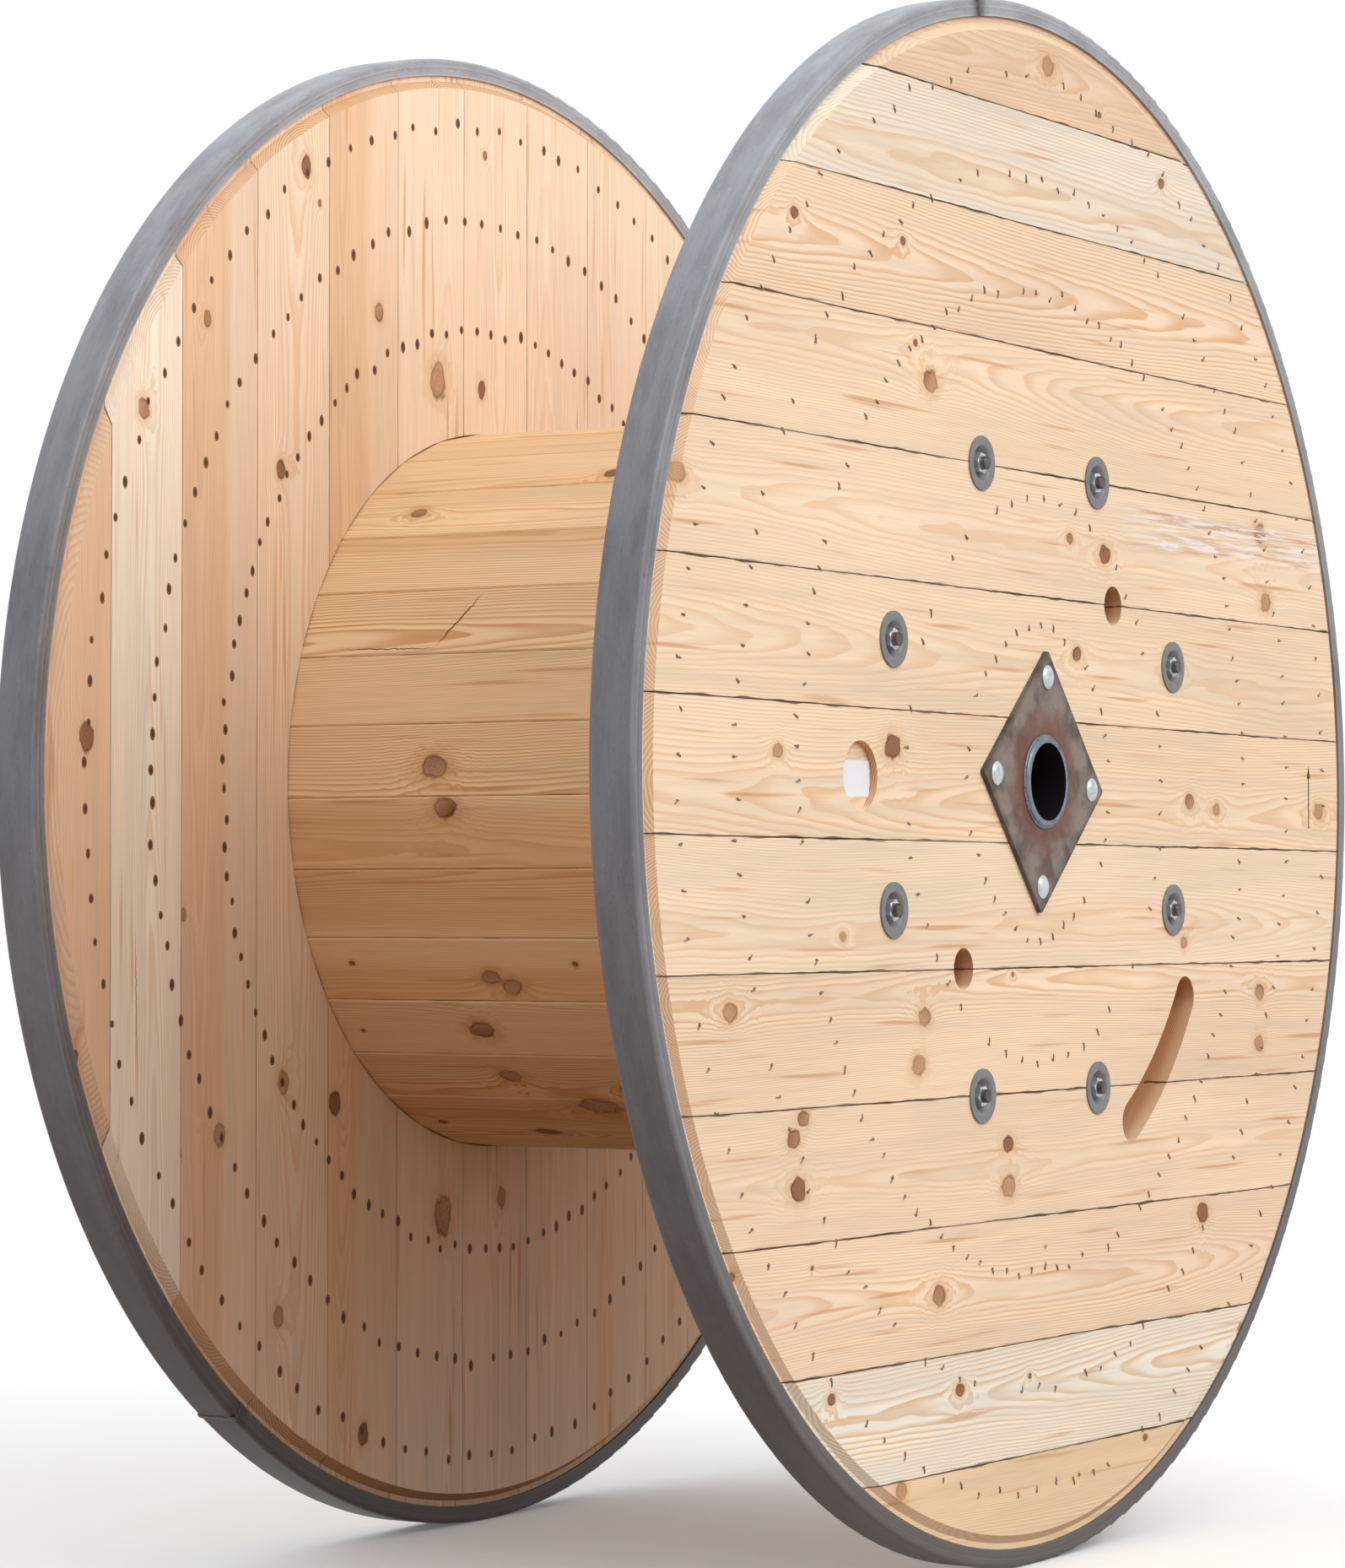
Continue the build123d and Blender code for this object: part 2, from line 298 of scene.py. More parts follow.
@dataclass
class Form:
    """A mesh under construction, made of many small shapes."""

    vertices: list[Vector] = field(default_factory=list)
    faces: list[tuple[int, ...]] = field(default_factory=list)

    def skin(self, rings: list[list[Vector]], close_start: bool = True, close_end: bool = True) -> None:
        """Join closed rings of points, one after another, into a skin.

        Args:
            rings: The rings, all with the same number of points.
            close_start: Whether the first ring is closed by a face.
            close_end: Whether the last ring is closed by a face.
        """
        first = len(self.vertices)
        size = len(rings[0])
        for ring in rings:
            self.vertices.extend(ring)
        for row in range(len(rings) - 1):
            low = first + row * size
            for step in range(size):
                after = (step + 1) % size
                self.faces.append((low + step, low + after, low + size + after, low + size + step))
        if close_start:
            self.faces.append(tuple(range(first + size - 1, first - 1, -1)))
        if close_end:
            last = first + (len(rings) - 1) * size
            self.faces.append(tuple(range(last, last + size)))

    def tube(self, path: list[Vector], radii: list[float], sides: int) -> None:
        """Lay a round tube along a path.

        Args:
            path: The points of its middle line.
            radii: Its radius at each point.
            sides: How many sides it has.
        """
        rings = []
        for index, (point, radius) in enumerate(zip(path, radii)):
            before = path[max(index - 1, 0)]
            after = path[min(index + 1, len(path) - 1)]
            heading = (after - before).normalized()
            side = heading.cross(Vector((0.31, 0.74, 0.59))).normalized()
            rise = side.cross(heading)
            ring = []
            for step in range(sides):
                turn = 2 * math.pi * step / sides
                ring.append(point + radius * (math.cos(turn) * side + math.sin(turn) * rise))
            rings.append(ring)
        self.skin(rings)

    def piece(self, name: str, material: bpy.types.Material, slot: str, smooth: bool) -> bpy.types.Object:
        """Finish the mesh as a piece that rides on the drum.

        Args:
            name: The piece's name.
            material: Its material.
            slot: Not used.
            smooth: Whether its faces are shaded smoothly.

        Returns:
            The piece.
        """
        mesh = bpy.data.meshes.new(name)
        mesh.from_pydata([tuple(vertex) for vertex in self.vertices], [], self.faces)
        work = bmesh.new()
        work.from_mesh(mesh)
        bmesh.ops.recalc_face_normals(work, faces=work.faces)
        work.to_mesh(mesh)
        work.free()
        mesh.materials.append(material)
        if smooth:
            mesh.shade_smooth()
        piece = bpy.data.objects.new(name, mesh)
        bpy.context.scene.collection.objects.link(piece)
        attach(piece, "root")
        return piece


@dataclass(frozen=True)
class Knot:
    """A knot, as a place along and across its board from the board's middle, and a radius.

    Where many boards share one material, board says which of them has the knot.
    """

    along: float
    across: float
    radius: float
    board: float | None = None


@dataclass(frozen=True)
class Crack:
    """A drying crack between two points of a board, each given along and across it."""

    start: tuple[float, float]
    end: tuple[float, float]
    width: float
    board: float | None = None


@dataclass(frozen=True)
class Smear:
    """Thin white paint that was wiped along a board."""

    start: float
    low: float
    high: float
    paint: tuple = srgb(246, 240, 236)
    stain: tuple = srgb(178, 122, 92)


@dataclass(frozen=True)
class BoardPlace:
    """Where a shaded point lies on its board, and what sets that board apart."""

    along: Socket
    across: Socket
    depth: Socket
    seed: Value
    half_width: Value
    end_axis: int


@dataclass(frozen=True)
class Pine:
    """Raw planed pine, with growth rings about a pith line and knots.

    Its colours are for the wood grown in spring, the dark line of late summer, and the heart.
    """

    spring: tuple = srgb(246, 225, 196)
    summer: tuple = srgb(222, 174, 122)
    heart: tuple = srgb(240, 206, 168)
    knot_face: tuple = srgb(148, 96, 66)
    knot_pale: tuple = srgb(206, 162, 126)
    knot_rim: tuple = srgb(88, 54, 36)
    resin: tuple = srgb(204, 140, 86)
    # Dark colour of cracks and seams: grime, and painted shade in the seams
    dirt_and_shade: tuple = srgb(62, 38, 22)
    # Painted shade for hole walls and the bevelled edge
    sunk: tuple = srgb(206, 156, 108)
    ring_contrast: float = 0.8
    heart_share: float = 0.4
    knot_chance: float = 0.16
    knot_cell_along: float = 0.38
    knot_cell_across: float = 0.16
    knot_stretch: float = 1.35
    roughness: float = 0.62
    end_grain: tuple = srgb(228, 186, 140)
    end_line: tuple = srgb(164, 104, 64)
    # How wide and strong the seams darken, partly as painted shade
    seam_dirt_and_shade: float = 0.0026
    seam_line: float = 0.0008
    seam_strength: float = 0.85

    def rings(self, s: Shader, board: BoardPlace, far: Socket) -> tuple[Socket, Socket]:
        """Count the growth rings at a point, about a pith that wanders along the board.

        Args:
            s: The material to build in.
            board: Where the point lies.
            far: An offset that sets the board's noise apart.

        Returns:
            The count of rings and the distance from the pith.
        """
        along, across, depth, seed = board.along, board.across, board.depth, board.seed
        wander = s.minus(s.noise(s.join(s.add(s.times(along, 0.9), far), across, depth), 0), 0.5)
        sway = s.minus(
            s.noise(s.join(s.add(s.times(along, 0.7), s.add(far, 40.0)), across, depth), 0), 0.5
        )
        pith_across = s.add(s.minus(s.times(s.chance(seed, 1), 0.16), 0.08), s.times(wander, 0.05))
        slope = s.times(s.minus(s.chance(seed, 2), 0.5), 0.045)
        pith_depth = s.add(
            s.add(s.times(s.chance(seed, 3), 0.08), 0.045),
            s.add(s.times(along, slope), s.times(sway, 0.035)),
        )
        distance = s.length(s.minus(across, pith_across), s.add(depth, pith_depth))
        spacing = s.add(s.times(s.chance(seed, 4), 0.0018), 0.0024)
        ripple = s.noise(s.join(s.add(s.times(along, 5), far), s.times(across, 28), s.times(depth, 28)), 1)
        return s.add(s.math("DIVIDE", distance, spacing), s.times(ripple, 1.3)), distance

    def knot_reach(
        self, s: Shader, board: BoardPlace, far: Socket, knots: tuple[Knot, ...]
    ) -> tuple[Socket, Socket]:
        """Measure how near the closest knot is, both those strewn one to a cell and those at set places.

        Args:
            s: The material to build in.
            board: Where the point lies.
            far: An offset that sets the board's noise apart.
            knots: The knots at set places.

        Returns:
            The distance in the knot's own radii, and the unevenness that shapes it.
        """
        along, across, seed = board.along, board.across, board.seed
        cell = s.tree.nodes.new("ShaderNodeTexVoronoi")
        cell.voronoi_dimensions = "2D"
        cell.inputs["Scale"].default_value = 1.0
        cell.inputs["Randomness"].default_value = 0.85
        cell_place = s.join(
            s.add(s.math("DIVIDE", along, self.knot_cell_along), far),
            s.add(s.math("DIVIDE", across, self.knot_cell_across), s.times(seed, 1.9)),
            0.0,
        )
        s.feed(cell.inputs["Vector"], cell_place)
        place_x, place_y, _ = s.split(cell_place)
        point_x, point_y, _ = s.split(cell.outputs["Position"])
        draw_size, draw_there, _ = s.split(cell.outputs["Color"])
        gap = s.length(
            s.times(s.minus(place_x, point_x), self.knot_cell_along / self.knot_stretch),
            s.times(s.minus(place_y, point_y), self.knot_cell_across),
        )
        there = s.math("LESS_THAN", draw_there, self.knot_chance)
        radius = s.add(s.times(s.math("POWER", draw_size, 2.0), 0.011), 0.003)
        rho = s.math("DIVIDE", gap, s.add(s.times(radius, there), 0.00001))
        for knot in knots:
            apart = s.length(
                s.times(s.minus(along, knot.along), 1 / self.knot_stretch), s.minus(across, knot.across)
            )
            if knot.board is not None:
                apart = s.add(apart, s.math("ABSOLUTE", s.minus(seed, knot.board)))
            rho = s.math("MINIMUM", rho, s.math("DIVIDE", apart, knot.radius))
        lumps = s.noise(s.join(s.times(along, 55), s.times(across, 75), far), 1)
        return s.times(rho, s.add(s.times(lumps, 0.9), 0.55)), lumps

    def crack_mask(self, s: Shader, board: BoardPlace, crack: Crack) -> Socket:
        """Mark a crack, which is ragged and runs out at both ends.

        Args:
            s: The material to build in.
            board: Where the point lies.
            crack: The crack.

        Returns:
            1 in the crack and 0 beside it.
        """
        (along_0, across_0), (along_1, across_1) = crack.start, crack.end
        length = math.hypot(along_1 - along_0, across_1 - across_0)
        unit = ((along_1 - along_0) / length, (across_1 - across_0) / length)
        in_along = s.minus(board.along, along_0)
        in_across = s.minus(board.across, across_0)
        on = s.add(s.times(in_along, unit[0]), s.times(in_across, unit[1]))
        off = s.minus(s.times(in_across, unit[0]), s.times(in_along, unit[1]))
        wobble = s.noise(s.join(s.times(on, 60), s.times(board.depth, 20), 0.0), 3)
        off = s.add(off, s.times(s.minus(wobble, 0.5), 5 * crack.width))
        if crack.board is not None:
            off = s.add(s.math("ABSOLUTE", off), s.math("ABSOLUTE", s.minus(board.seed, crack.board)))
        taper = s.times(s.smooth(on, 0.0, length * 0.3), s.smooth(on, length, length * 0.6))
        reach = s.math("DIVIDE", s.math("ABSOLUTE", off), s.add(s.times(taper, crack.width), 0.00001))
        return s.smooth(reach, 1.0, 0.4)

    def dress(
        self,
        shader: Shader,
        board: BoardPlace,
        knots: tuple[Knot, ...] = (),
        cracks: tuple[Crack, ...] = (),
        smear: Smear | None = None,
        tone: tuple[float, float, float] | None = None,
    ) -> Shader:
        """Build the wood's nodes.

        Args:
            shader: The material to build in.
            board: Where a shaded point lies on its board.
            knots: Knots at set places.
            cracks: Cracks at set places.
            smear: White paint on the board.
            tone: What the wood's red, green and blue are multiplied by.

        Returns:
            The same shader.
        """
        s = shader
        along, across, depth, seed = board.along, board.across, board.depth, board.seed
        far = s.times(seed, 3.7)
        rings, pith_distance = self.rings(s, board, far)
        rho, lumps = self.knot_reach(s, board, far, knots)
        rings = s.minus(rings, s.times(s.math("EXPONENT", s.times(rho, -0.75)), 5.0))

        # The dark line that ends each ring
        share = s.math("FRACT", rings)
        line = s.times(s.smooth(share, 0.3, 0.9), s.smooth(share, 1.0, 0.93))
        fibre = s.noise(
            s.join(s.add(s.times(along, 9), far), s.times(across, 420), s.times(depth, 420)), 1, 0.6
        )
        streak = s.noise(
            s.join(s.add(s.times(along, 1.6), far), s.times(across, 46), s.times(depth, 46)), 1, 0.6
        )
        cloud = s.noise(s.join(s.add(s.times(along, 1.1), far), s.times(across, 5), s.times(depth, 5)), 1)
        line_strength = s.times(s.add(s.times(streak, 1.3), 0.02), self.ring_contrast)
        line_strength = s.times(line_strength, s.add(s.times(s.chance(seed, 6), 0.7), 0.55))
        heart_reach = s.add(s.times(s.chance(seed, 5), 0.11 * self.heart_share * 2.5), -0.01)
        in_heart = s.smooth(
            s.minus(pith_distance, s.add(heart_reach, s.times(cloud, 0.02))), 0.012, -0.012
        )
        wood = s.blend(s.times(in_heart, 0.85), self.spring, self.heart)
        wood = s.blend(s.times(line, line_strength), wood, self.summer)
        light = s.add(
            s.add(s.times(s.minus(streak, 0.5), 0.3), s.times(s.minus(fibre, 0.5), 0.2)),
            s.add(s.times(s.minus(cloud, 0.5), 0.24), 1.0),
        )
        wood = s.blend(1.0, wood, s.join(light, light, light), "MULTIPLY")
        if tone is not None:
            wood = s.blend(1.0, wood, (*tone, 1.0), "MULTIPLY")

        # Resin streaks
        weep = s.noise(
            s.join(s.add(s.times(along, 2.6), s.add(far, 9.0)), s.times(across, 70), s.times(depth, 20)), 1
        )
        wood = s.blend(s.times(s.smooth(weep, 0.63, 0.78), 0.6), wood, self.resin)

        # Knots: rings of their own, a dark edge and a warm halo
        halo = s.smooth(rho, 2.6, 1.0)
        wood = s.blend(s.times(halo, 0.45), wood, self.summer)
        inside = s.smooth(rho, 1.08, 0.92)
        kind = s.noise(s.join(s.add(s.times(along, 5), far), s.times(across, 5), 7.0), 0)
        pale = s.smooth(kind, 0.42, 0.58)
        knot_rings = s.math("FRACT", s.add(s.times(rho, 3.4), s.times(lumps, 1.4)))
        knot_wood = s.blend(pale, self.knot_face, self.knot_pale)
        knot_wood = s.blend(s.times(knot_rings, 0.42), knot_wood, self.knot_rim)
        wood = s.blend(s.times(inside, 0.9), wood, knot_wood)
        edge = s.times(s.smooth(rho, 0.74, 0.98), s.smooth(rho, 1.22, 1.02))
        edge_dark = s.times(
            s.math("MAXIMUM", s.minus(s.times(lumps, 1.9), 0.35), 0.15), s.minus(1.0, s.times(pale, 0.45))
        )
        wood = s.blend(s.times(edge, edge_dark), wood, self.knot_rim)

        # End grain, where the surface crosses the board's length
        geometry = s.tree.nodes.new("ShaderNodeNewGeometry")
        normal = s.split(geometry.outputs["Normal"])
        across_grain = s.smooth(s.math("ABSOLUTE", normal[board.end_axis]), 0.25, 0.75)
        ends = s.blend(s.times(s.math("POWER", share, 1.6), 0.95), self.end_grain, self.end_line)
        wood = s.blend(s.times(across_grain, 0.85), wood, ends)

        # Painted shade: walls of holes and the bevelled edge grow darker with their depth below the face
        recess_shade_share = s.times(s.smooth(depth, 0.006, 0.034), 0.5)
        wood = s.blend(recess_shade_share, wood, s.blend(1.0, wood, self.sunk, "MULTIPLY"))

        if smear is not None:
            wiped = s.noise(
                s.join(s.add(s.times(along, 7), far), s.times(across, 150), s.times(depth, 40)), 4, 0.65
            )
            there = s.times(
                s.smooth(along, smear.start, smear.start + 0.25),
                s.times(
                    s.smooth(across, smear.low - 0.008, smear.low + 0.012),
                    s.smooth(across, smear.high + 0.008, smear.high - 0.012),
                ),
            )
            stained = s.noise(
                s.join(s.add(s.times(along, 3), s.add(far, 5.0)), s.times(across, 60), s.times(depth, 40)), 4
            )
            wood = s.blend(s.times(s.smooth(stained, 0.4, 0.62), s.times(there, 0.5)), wood, smear.stain)
            white = s.times(s.smooth(wiped, 0.46, 0.58), s.times(there, 0.85))
            wood = s.blend(white, wood, smear.paint)
        for crack in cracks:
            wood = s.blend(s.times(self.crack_mask(s, board, crack), 0.9), wood, self.dirt_and_shade)

        # Dirt and splinters along the gaps between the boards, with painted shade of the gaps and their rounded edges
        side = s.minus(board.half_width, s.math("ABSOLUTE", across))
        torn = s.noise(s.join(s.add(s.times(along, 14), far), s.times(depth, 60), 3.0), 1, 0.7)
        reach = s.times(s.smooth(torn, 0.35, 0.8), self.seam_dirt_and_shade)
        faint = s.smooth(s.noise(s.join(s.add(s.times(along, 2.2), far), 4.0, 0.0), 0), 0.36, 0.56)
        dirt_and_shade_share = s.smooth(s.minus(side, reach), self.seam_line, self.seam_line * 0.2)
        dirt_and_shade_share = s.times(dirt_and_shade_share, s.add(s.times(faint, 0.75), 0.25))
        wood = s.blend(s.times(dirt_and_shade_share, self.seam_strength), wood, self.dirt_and_shade)

        s.feed(s.surface.inputs["Base Color"], wood)
        s.surface.inputs["Roughness"].default_value = self.roughness
        s.surface.inputs["Specular IOR Level"].default_value = 0.1
        return s


@dataclass(frozen=True)
class Steel:
    """Rolled steel, from bright to covered in mill scale, with darker blotches, streaks and rust."""

    colour: tuple
    dark: tuple
    rust: tuple
    rust_share: float
    metallic: float
    roughness: float
    streak: float

    def dress(
        self,
        shader: Shader,
        place: Socket,
        streak_place: Socket,
        burnt: Socket | None = None,
        tinted: Socket | None = None,
        bright: Socket | None = None,
    ) -> Shader:
        """Build the steel's nodes.

        Args:
            shader: The material to build in.
            place: Where blotches are read.
            streak_place: Where drawn streaks are read.
            burnt: How black a weld has left the steel, from 0 to 1.
            tinted: How far heat has tinted it, from 0 to 1.
            bright: How much brighter, or darker below 0, wear and painted light leave it.

        Returns:
            The same shader.
        """
        s = shader
        blotch = s.noise(place, 4, 0.6)
        streak = s.noise(streak_place, 2, 0.6)
        speck = s.noise(s.stretch(place, 14.0), 1, 0.5)
        colour = s.blend(s.smooth(blotch, 0.38, 0.68), self.colour, self.dark)
        light = s.add(s.times(s.minus(streak, 0.5), self.streak), 1.0)
        light = s.add(light, s.times(s.smooth(speck, 0.66, 0.8), 0.35))
        light = s.minus(light, s.times(s.smooth(speck, 0.34, 0.24), 0.3))
        colour = s.blend(1.0, colour, s.join(light, light, light), "MULTIPLY")
        rusty = s.smooth(
            s.add(blotch, s.times(streak, 0.3)), 0.82 - self.rust_share, 0.95 - self.rust_share
        )
        colour = s.blend(s.times(rusty, 0.8), colour, self.rust)
        if tinted is not None:
            colour = s.blend(tinted, colour, self.rust)
        if burnt is not None:
            colour = s.blend(burnt, colour, srgb(24, 18, 16))
        # Wear and painted light make the steel brighter or darker
        if bright is not None:
            gleam = s.add(bright, 1.0)
            colour = s.blend(1.0, colour, s.join(gleam, gleam, gleam), "MULTIPLY")
        s.feed(s.surface.inputs["Base Color"], colour)
        s.surface.inputs["Metallic"].default_value = self.metallic
        rough = s.add(s.times(streak, 0.16), self.roughness - 0.08)
        s.feed(s.surface.inputs["Roughness"], rough)
        s.feed(s.surface.inputs["Normal"], s.bump(streak, 0.0003, 0.3))
        return s


MILL_SCALE = Steel(srgb(124, 127, 132), srgb(108, 110, 115), srgb(108, 78, 58), 0.0, 0.0, 0.42, 0.28)
PLATE_SCALE = Steel(srgb(134, 118, 108), srgb(80, 69, 63), srgb(106, 54, 34), 0.08, 0.2, 0.5, 0.4)
TUBE_SCALE = Steel(srgb(122, 134, 146), srgb(92, 100, 110), srgb(90, 62, 54), 0.0, 0.5, 0.38, 0.3)
# Painted shade: nearly black for the inside of the bore
BORE_PAINTED_SHADE = Steel(srgb(22, 18, 22), srgb(12, 10, 14), srgb(30, 20, 18), 0.0, 0.0, 0.7, 0.2)
CUP_STEEL = Steel(srgb(128, 128, 129), srgb(118, 118, 119), srgb(120, 96, 80), 0.0, 0.3, 0.45, 0.1)
ZINC = Steel(srgb(206, 214, 218), srgb(176, 184, 190), srgb(190, 185, 160), 0.0, 0.7, 0.34, 0.2)
ROD_STEEL = Steel(srgb(96, 90, 86), srgb(64, 58, 54), srgb(84, 58, 44), 0.04, 0.6, 0.4, 0.3)
NAIL_STEEL = Steel(srgb(150, 148, 140), srgb(84, 80, 74), srgb(96, 66, 46), 0.1, 0.6, 0.4, 0.3)
# Painted shade: the dark brown of a nail hollow, laid on the nail head
HEAD_IN_PAINTED_SHADE = Steel(srgb(82, 54, 36), srgb(52, 34, 22), srgb(96, 60, 36), 0.1, 0.0, 0.7, 0.3)


@dataclass(frozen=True)
class Plain:
    """An even finish, such as paper, paint or torn fibres."""

    colour: tuple
    roughness: float
    grain: float

    def material(self, name: str) -> bpy.types.Material:
        """Make the finish's material, with a little unevenness.

        Args:
            name: The material's name.

        Returns:
            The material.
        """
        s = Shader(name)
        x, y, z = s.place()
        cloud = s.noise(s.join(s.times(x, 220), s.times(y, 220), s.times(z, 220)), 3)
        light = s.add(s.times(s.minus(cloud, 0.5), self.grain), 1.0)
        s.feed(
            s.surface.inputs["Base Color"], s.blend(1.0, self.colour, s.join(light, light, light), "MULTIPLY")
        )
        s.surface.inputs["Roughness"].default_value = self.roughness
        return s.material


PAPER = Plain(srgb(236, 240, 246), 0.55, 0.04)
STENCIL_INK = Plain(srgb(66, 40, 26), 0.8, 0.4)
TORN_WOOD = Plain(srgb(150, 100, 60), 0.9, 0.7)
# Crushed wood, painted darker as the shade of the nail hollow
CRUSHED_WOOD_AND_SHADE = Plain(srgb(136, 92, 58), 0.9, 0.5)

FACE_PINE = Pine()
INSIDE_PINE = Pine(
    spring=srgb(245, 225, 202),
    summer=srgb(224, 182, 140),
    heart=srgb(238, 204, 170),
    dirt_and_shade=srgb(112, 74, 46),
    ring_contrast=0.6,
    seam_dirt_and_shade=0.0012,
    seam_line=0.0003,
    seam_strength=0.6,
)
STAVE_PINE = Pine(
    spring=srgb(245, 212, 170),
    summer=srgb(202, 142, 88),
    heart=srgb(234, 188, 138),
    dirt_and_shade=srgb(84, 50, 28),
    heart_share=0.45,
    knot_cell_along=0.42,
    ring_contrast=0.8,
    seam_dirt_and_shade=0.0012,
    seam_line=0.0004,
    seam_strength=0.7,
)


class Lay(Enum):
    """Which way the boards of a layer run."""

    LEVEL = "level"
    UPRIGHT = "upright"


class Side(Enum):
    """A flange, by the sign of its Y."""

    NEAR = -1
    FAR = 1


@dataclass
class BoardLayers:
    """The boards of both flanges: two crossed layers in each."""

    boards: int = 13
    full_pitch: float = 0.1985
    full_boards: int = 9
    shoulder_share: float = 0.902
    smear: Smear = Smear(0.22, 0.004, 0.074)
    smeared_board: int = 9
    face_tones: tuple[tuple[float, float, float], ...] = (
        (0.93, 0.87, 0.79),
        (0.98, 1.12, 1.3),
        (0.99, 0.97, 0.98),
        (0.98, 0.96, 0.95),
        (0.99, 0.98, 0.98),
        (0.99, 1.0, 1.02),
        (0.98, 0.97, 0.96),
        (0.97, 0.96, 0.95),
        (0.98, 0.97, 0.97),
        (0.98, 0.97, 0.96),
        (0.98, 0.96, 0.97),
        (0.94, 1.05, 1.22),
        (0.86, 0.8, 0.78),
    )
    inside_tones: tuple[tuple[float, float, float], ...] = (
        (0.9, 0.77, 0.67),
        (1.05, 1.14, 1.22),
        (0.96, 0.92, 0.90),
        (0.99, 0.96, 0.93),
        (0.97, 0.93, 0.89),
        (1.0, 0.98, 0.96),
        (1.0, 0.98, 0.97),
        (0.99, 0.95, 0.92),
        (1.0, 0.97, 0.95),
        (0.98, 0.95, 0.92),
        (0.97, 0.93, 0.9),
        (1.0, 0.98, 0.97),
        (0.96, 0.92, 0.9),
    )

    def face_knots(self, number: int) -> tuple[Knot, ...]:
        """Give the large knots of a near face board, counted from the bottom up."""
        knots = {
            1: (Knot(-0.474, 0.074, 0.012), Knot(0.383, 0.073, 0.006)),
            3: (Knot(0.613, 0.070, 0.016), Knot(-0.350, -0.005, 0.015)),
            4: (
                Knot(-0.802, 0.056, 0.013),
                Knot(-0.792, -0.019, 0.016),
                Knot(-0.116, 0.020, 0.013),
                Knot(-0.116, -0.046, 0.016),
            ),
            5: (
                Knot(-0.987, 0.045, 0.014),
                Knot(-0.396, 0.028, 0.013),
                Knot(-0.415, -0.046, 0.014),
                Knot(0.855, 0.047, 0.013),
                Knot(0.851, -0.043, 0.013),
            ),
            7: (Knot(-0.849, 0.026, 0.010), Knot(-0.498, 0.043, 0.017), Knot(0.566, -0.021, 0.012)),
            8: (Knot(0.132, 0.013, 0.011), Knot(0.507, 0.009, 0.013)),
            9: (
                Knot(-1.130, 0.013, 0.014),
                Knot(0.237, -0.017, 0.014),
                Knot(0.861, 0.059, 0.016),
                Knot(0.886, -0.060, 0.015),
            ),
            10: (Knot(-0.374, 0.014, 0.016), Knot(-0.423, 0.069, 0.005)),
            11: (Knot(-0.464, 0.023, 0.006),),
            13: (Knot(0.032, 0.0, 0.015), Knot(0.221, -0.052, 0.005)),
        }
        return knots.get(number, ())

    def inside_knots(self, number: int) -> tuple[Knot, ...]:
        """Give the large knots of a far inside board, counted from -X to +X."""
        knots = {
            1: (Knot(0.057, 0.026, 0.016),),
            2: (Knot(0.569, -0.010, 0.012),),
            3: (Knot(0.725, -0.035, 0.009), Knot(-0.560, 0.002, 0.014), Knot(-0.951, 0.008, 0.012)),
            4: (
                Knot(1.002, 0.033, 0.012),
                Knot(0.503, -0.035, 0.011),
                Knot(-0.483, -0.025, 0.014),
                Knot(-0.857, -0.037, 0.013),
            ),
            5: (Knot(0.786, 0.043, 0.012), Knot(-0.521, -0.080, 0.014), Knot(-1.067, 0.002, 0.014)),
            6: (Knot(0.688, 0.020, 0.022), Knot(-0.721, 0.039, 0.024)),
            7: (Knot(1.090, -0.034, 0.006), Knot(-0.70, 0.02, 0.012)),
        }
        return knots.get(number, ())

    def place(self, shader: Shader, lay: Lay, middle: Value, face: float, seed: Value, half: Value) -> BoardPlace:
        """Give a board's own coordinates.

        Args:
            shader: The material to build in.
            lay: Which way the board runs.
            middle: Where its middle line lies across the layer.
            face: How far its face lies from the drum's middle.
            seed: What sets it apart.
            half: Half its width.

        Returns:
            Where a shaded point lies on the board.
        """
        x, y, z = shader.place()
        depth = shader.math("ABSOLUTE", shader.minus(shader.math("ABSOLUTE", y), face))
        if lay is Lay.LEVEL:
            return BoardPlace(x, shader.minus(z, middle), depth, seed, half, 0)
        return BoardPlace(z, shader.minus(x, middle), depth, seed, half, 2)

    def face_of(self, node: str, lay: Lay) -> float:
        """Give how far the visible face of a layer lies from the drum's middle.

        Args:
            node: A node of the layer.
            lay: Which way its boards run.

        Returns:
            The distance along Y.
        """
        low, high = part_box(node)
        ends = (abs(low.y), abs(high.y))
        return max(ends) if lay is Lay.LEVEL else min(ends)

    def single(self, node: str, lay: Lay, seed: float, pine: Pine, **looks: object) -> None:
        """Dress a board that is a node of its own.

        Args:
            node: The node's name.
            lay: Which way it runs.
            seed: What sets it apart.
            pine: Its finish.
            looks: Its knots, cracks, smear and tone, as Pine.dress takes them.
        """
        low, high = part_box(node)
        axis = 2 if lay is Lay.LEVEL else 0
        middle = (low[axis] + high[axis]) / 2
        half = (high[axis] - low[axis]) / 2
        shader = Shader(f"pine_{node}")
        board = self.place(shader, lay, middle, self.face_of(node, lay), seed, half)
        pine.dress(shader, board, **looks)
        paint(node, shader.material)

    def whole_layer(self, node: str, lay: Lay, seed: float, pine: Pine) -> None:
        """Dress a layer whose boards share one node.

        Args:
            node: The node's name.
            lay: Which way its boards run.
            seed: What sets the layer apart.
            pine: Its finish.
        """
        shader = Shader(f"pine_{node}")
        s = shader
        x, _, z = s.place()
        offset = z if lay is Lay.LEVEL else x
        count = s.math("DIVIDE", offset, self.full_pitch)
        size = s.math("ABSOLUTE", count)
        last_full = self.full_boards / 2
        at_edge = s.math("GREATER_THAN", size, last_full + self.shoulder_share)
        number = s.add(s.math("MINIMUM", s.math("FLOOR", s.add(size, 0.5)), last_full + 0.5), at_edge)
        number = s.times(number, s.math("SIGN", count))
        middle = s.times(number, self.full_pitch)
        board = self.place(
            shader, lay, middle, self.face_of(node, lay), s.add(number, seed), self.full_pitch / 2
        )
        pine.dress(shader, board)
        paint(node, shader.material)

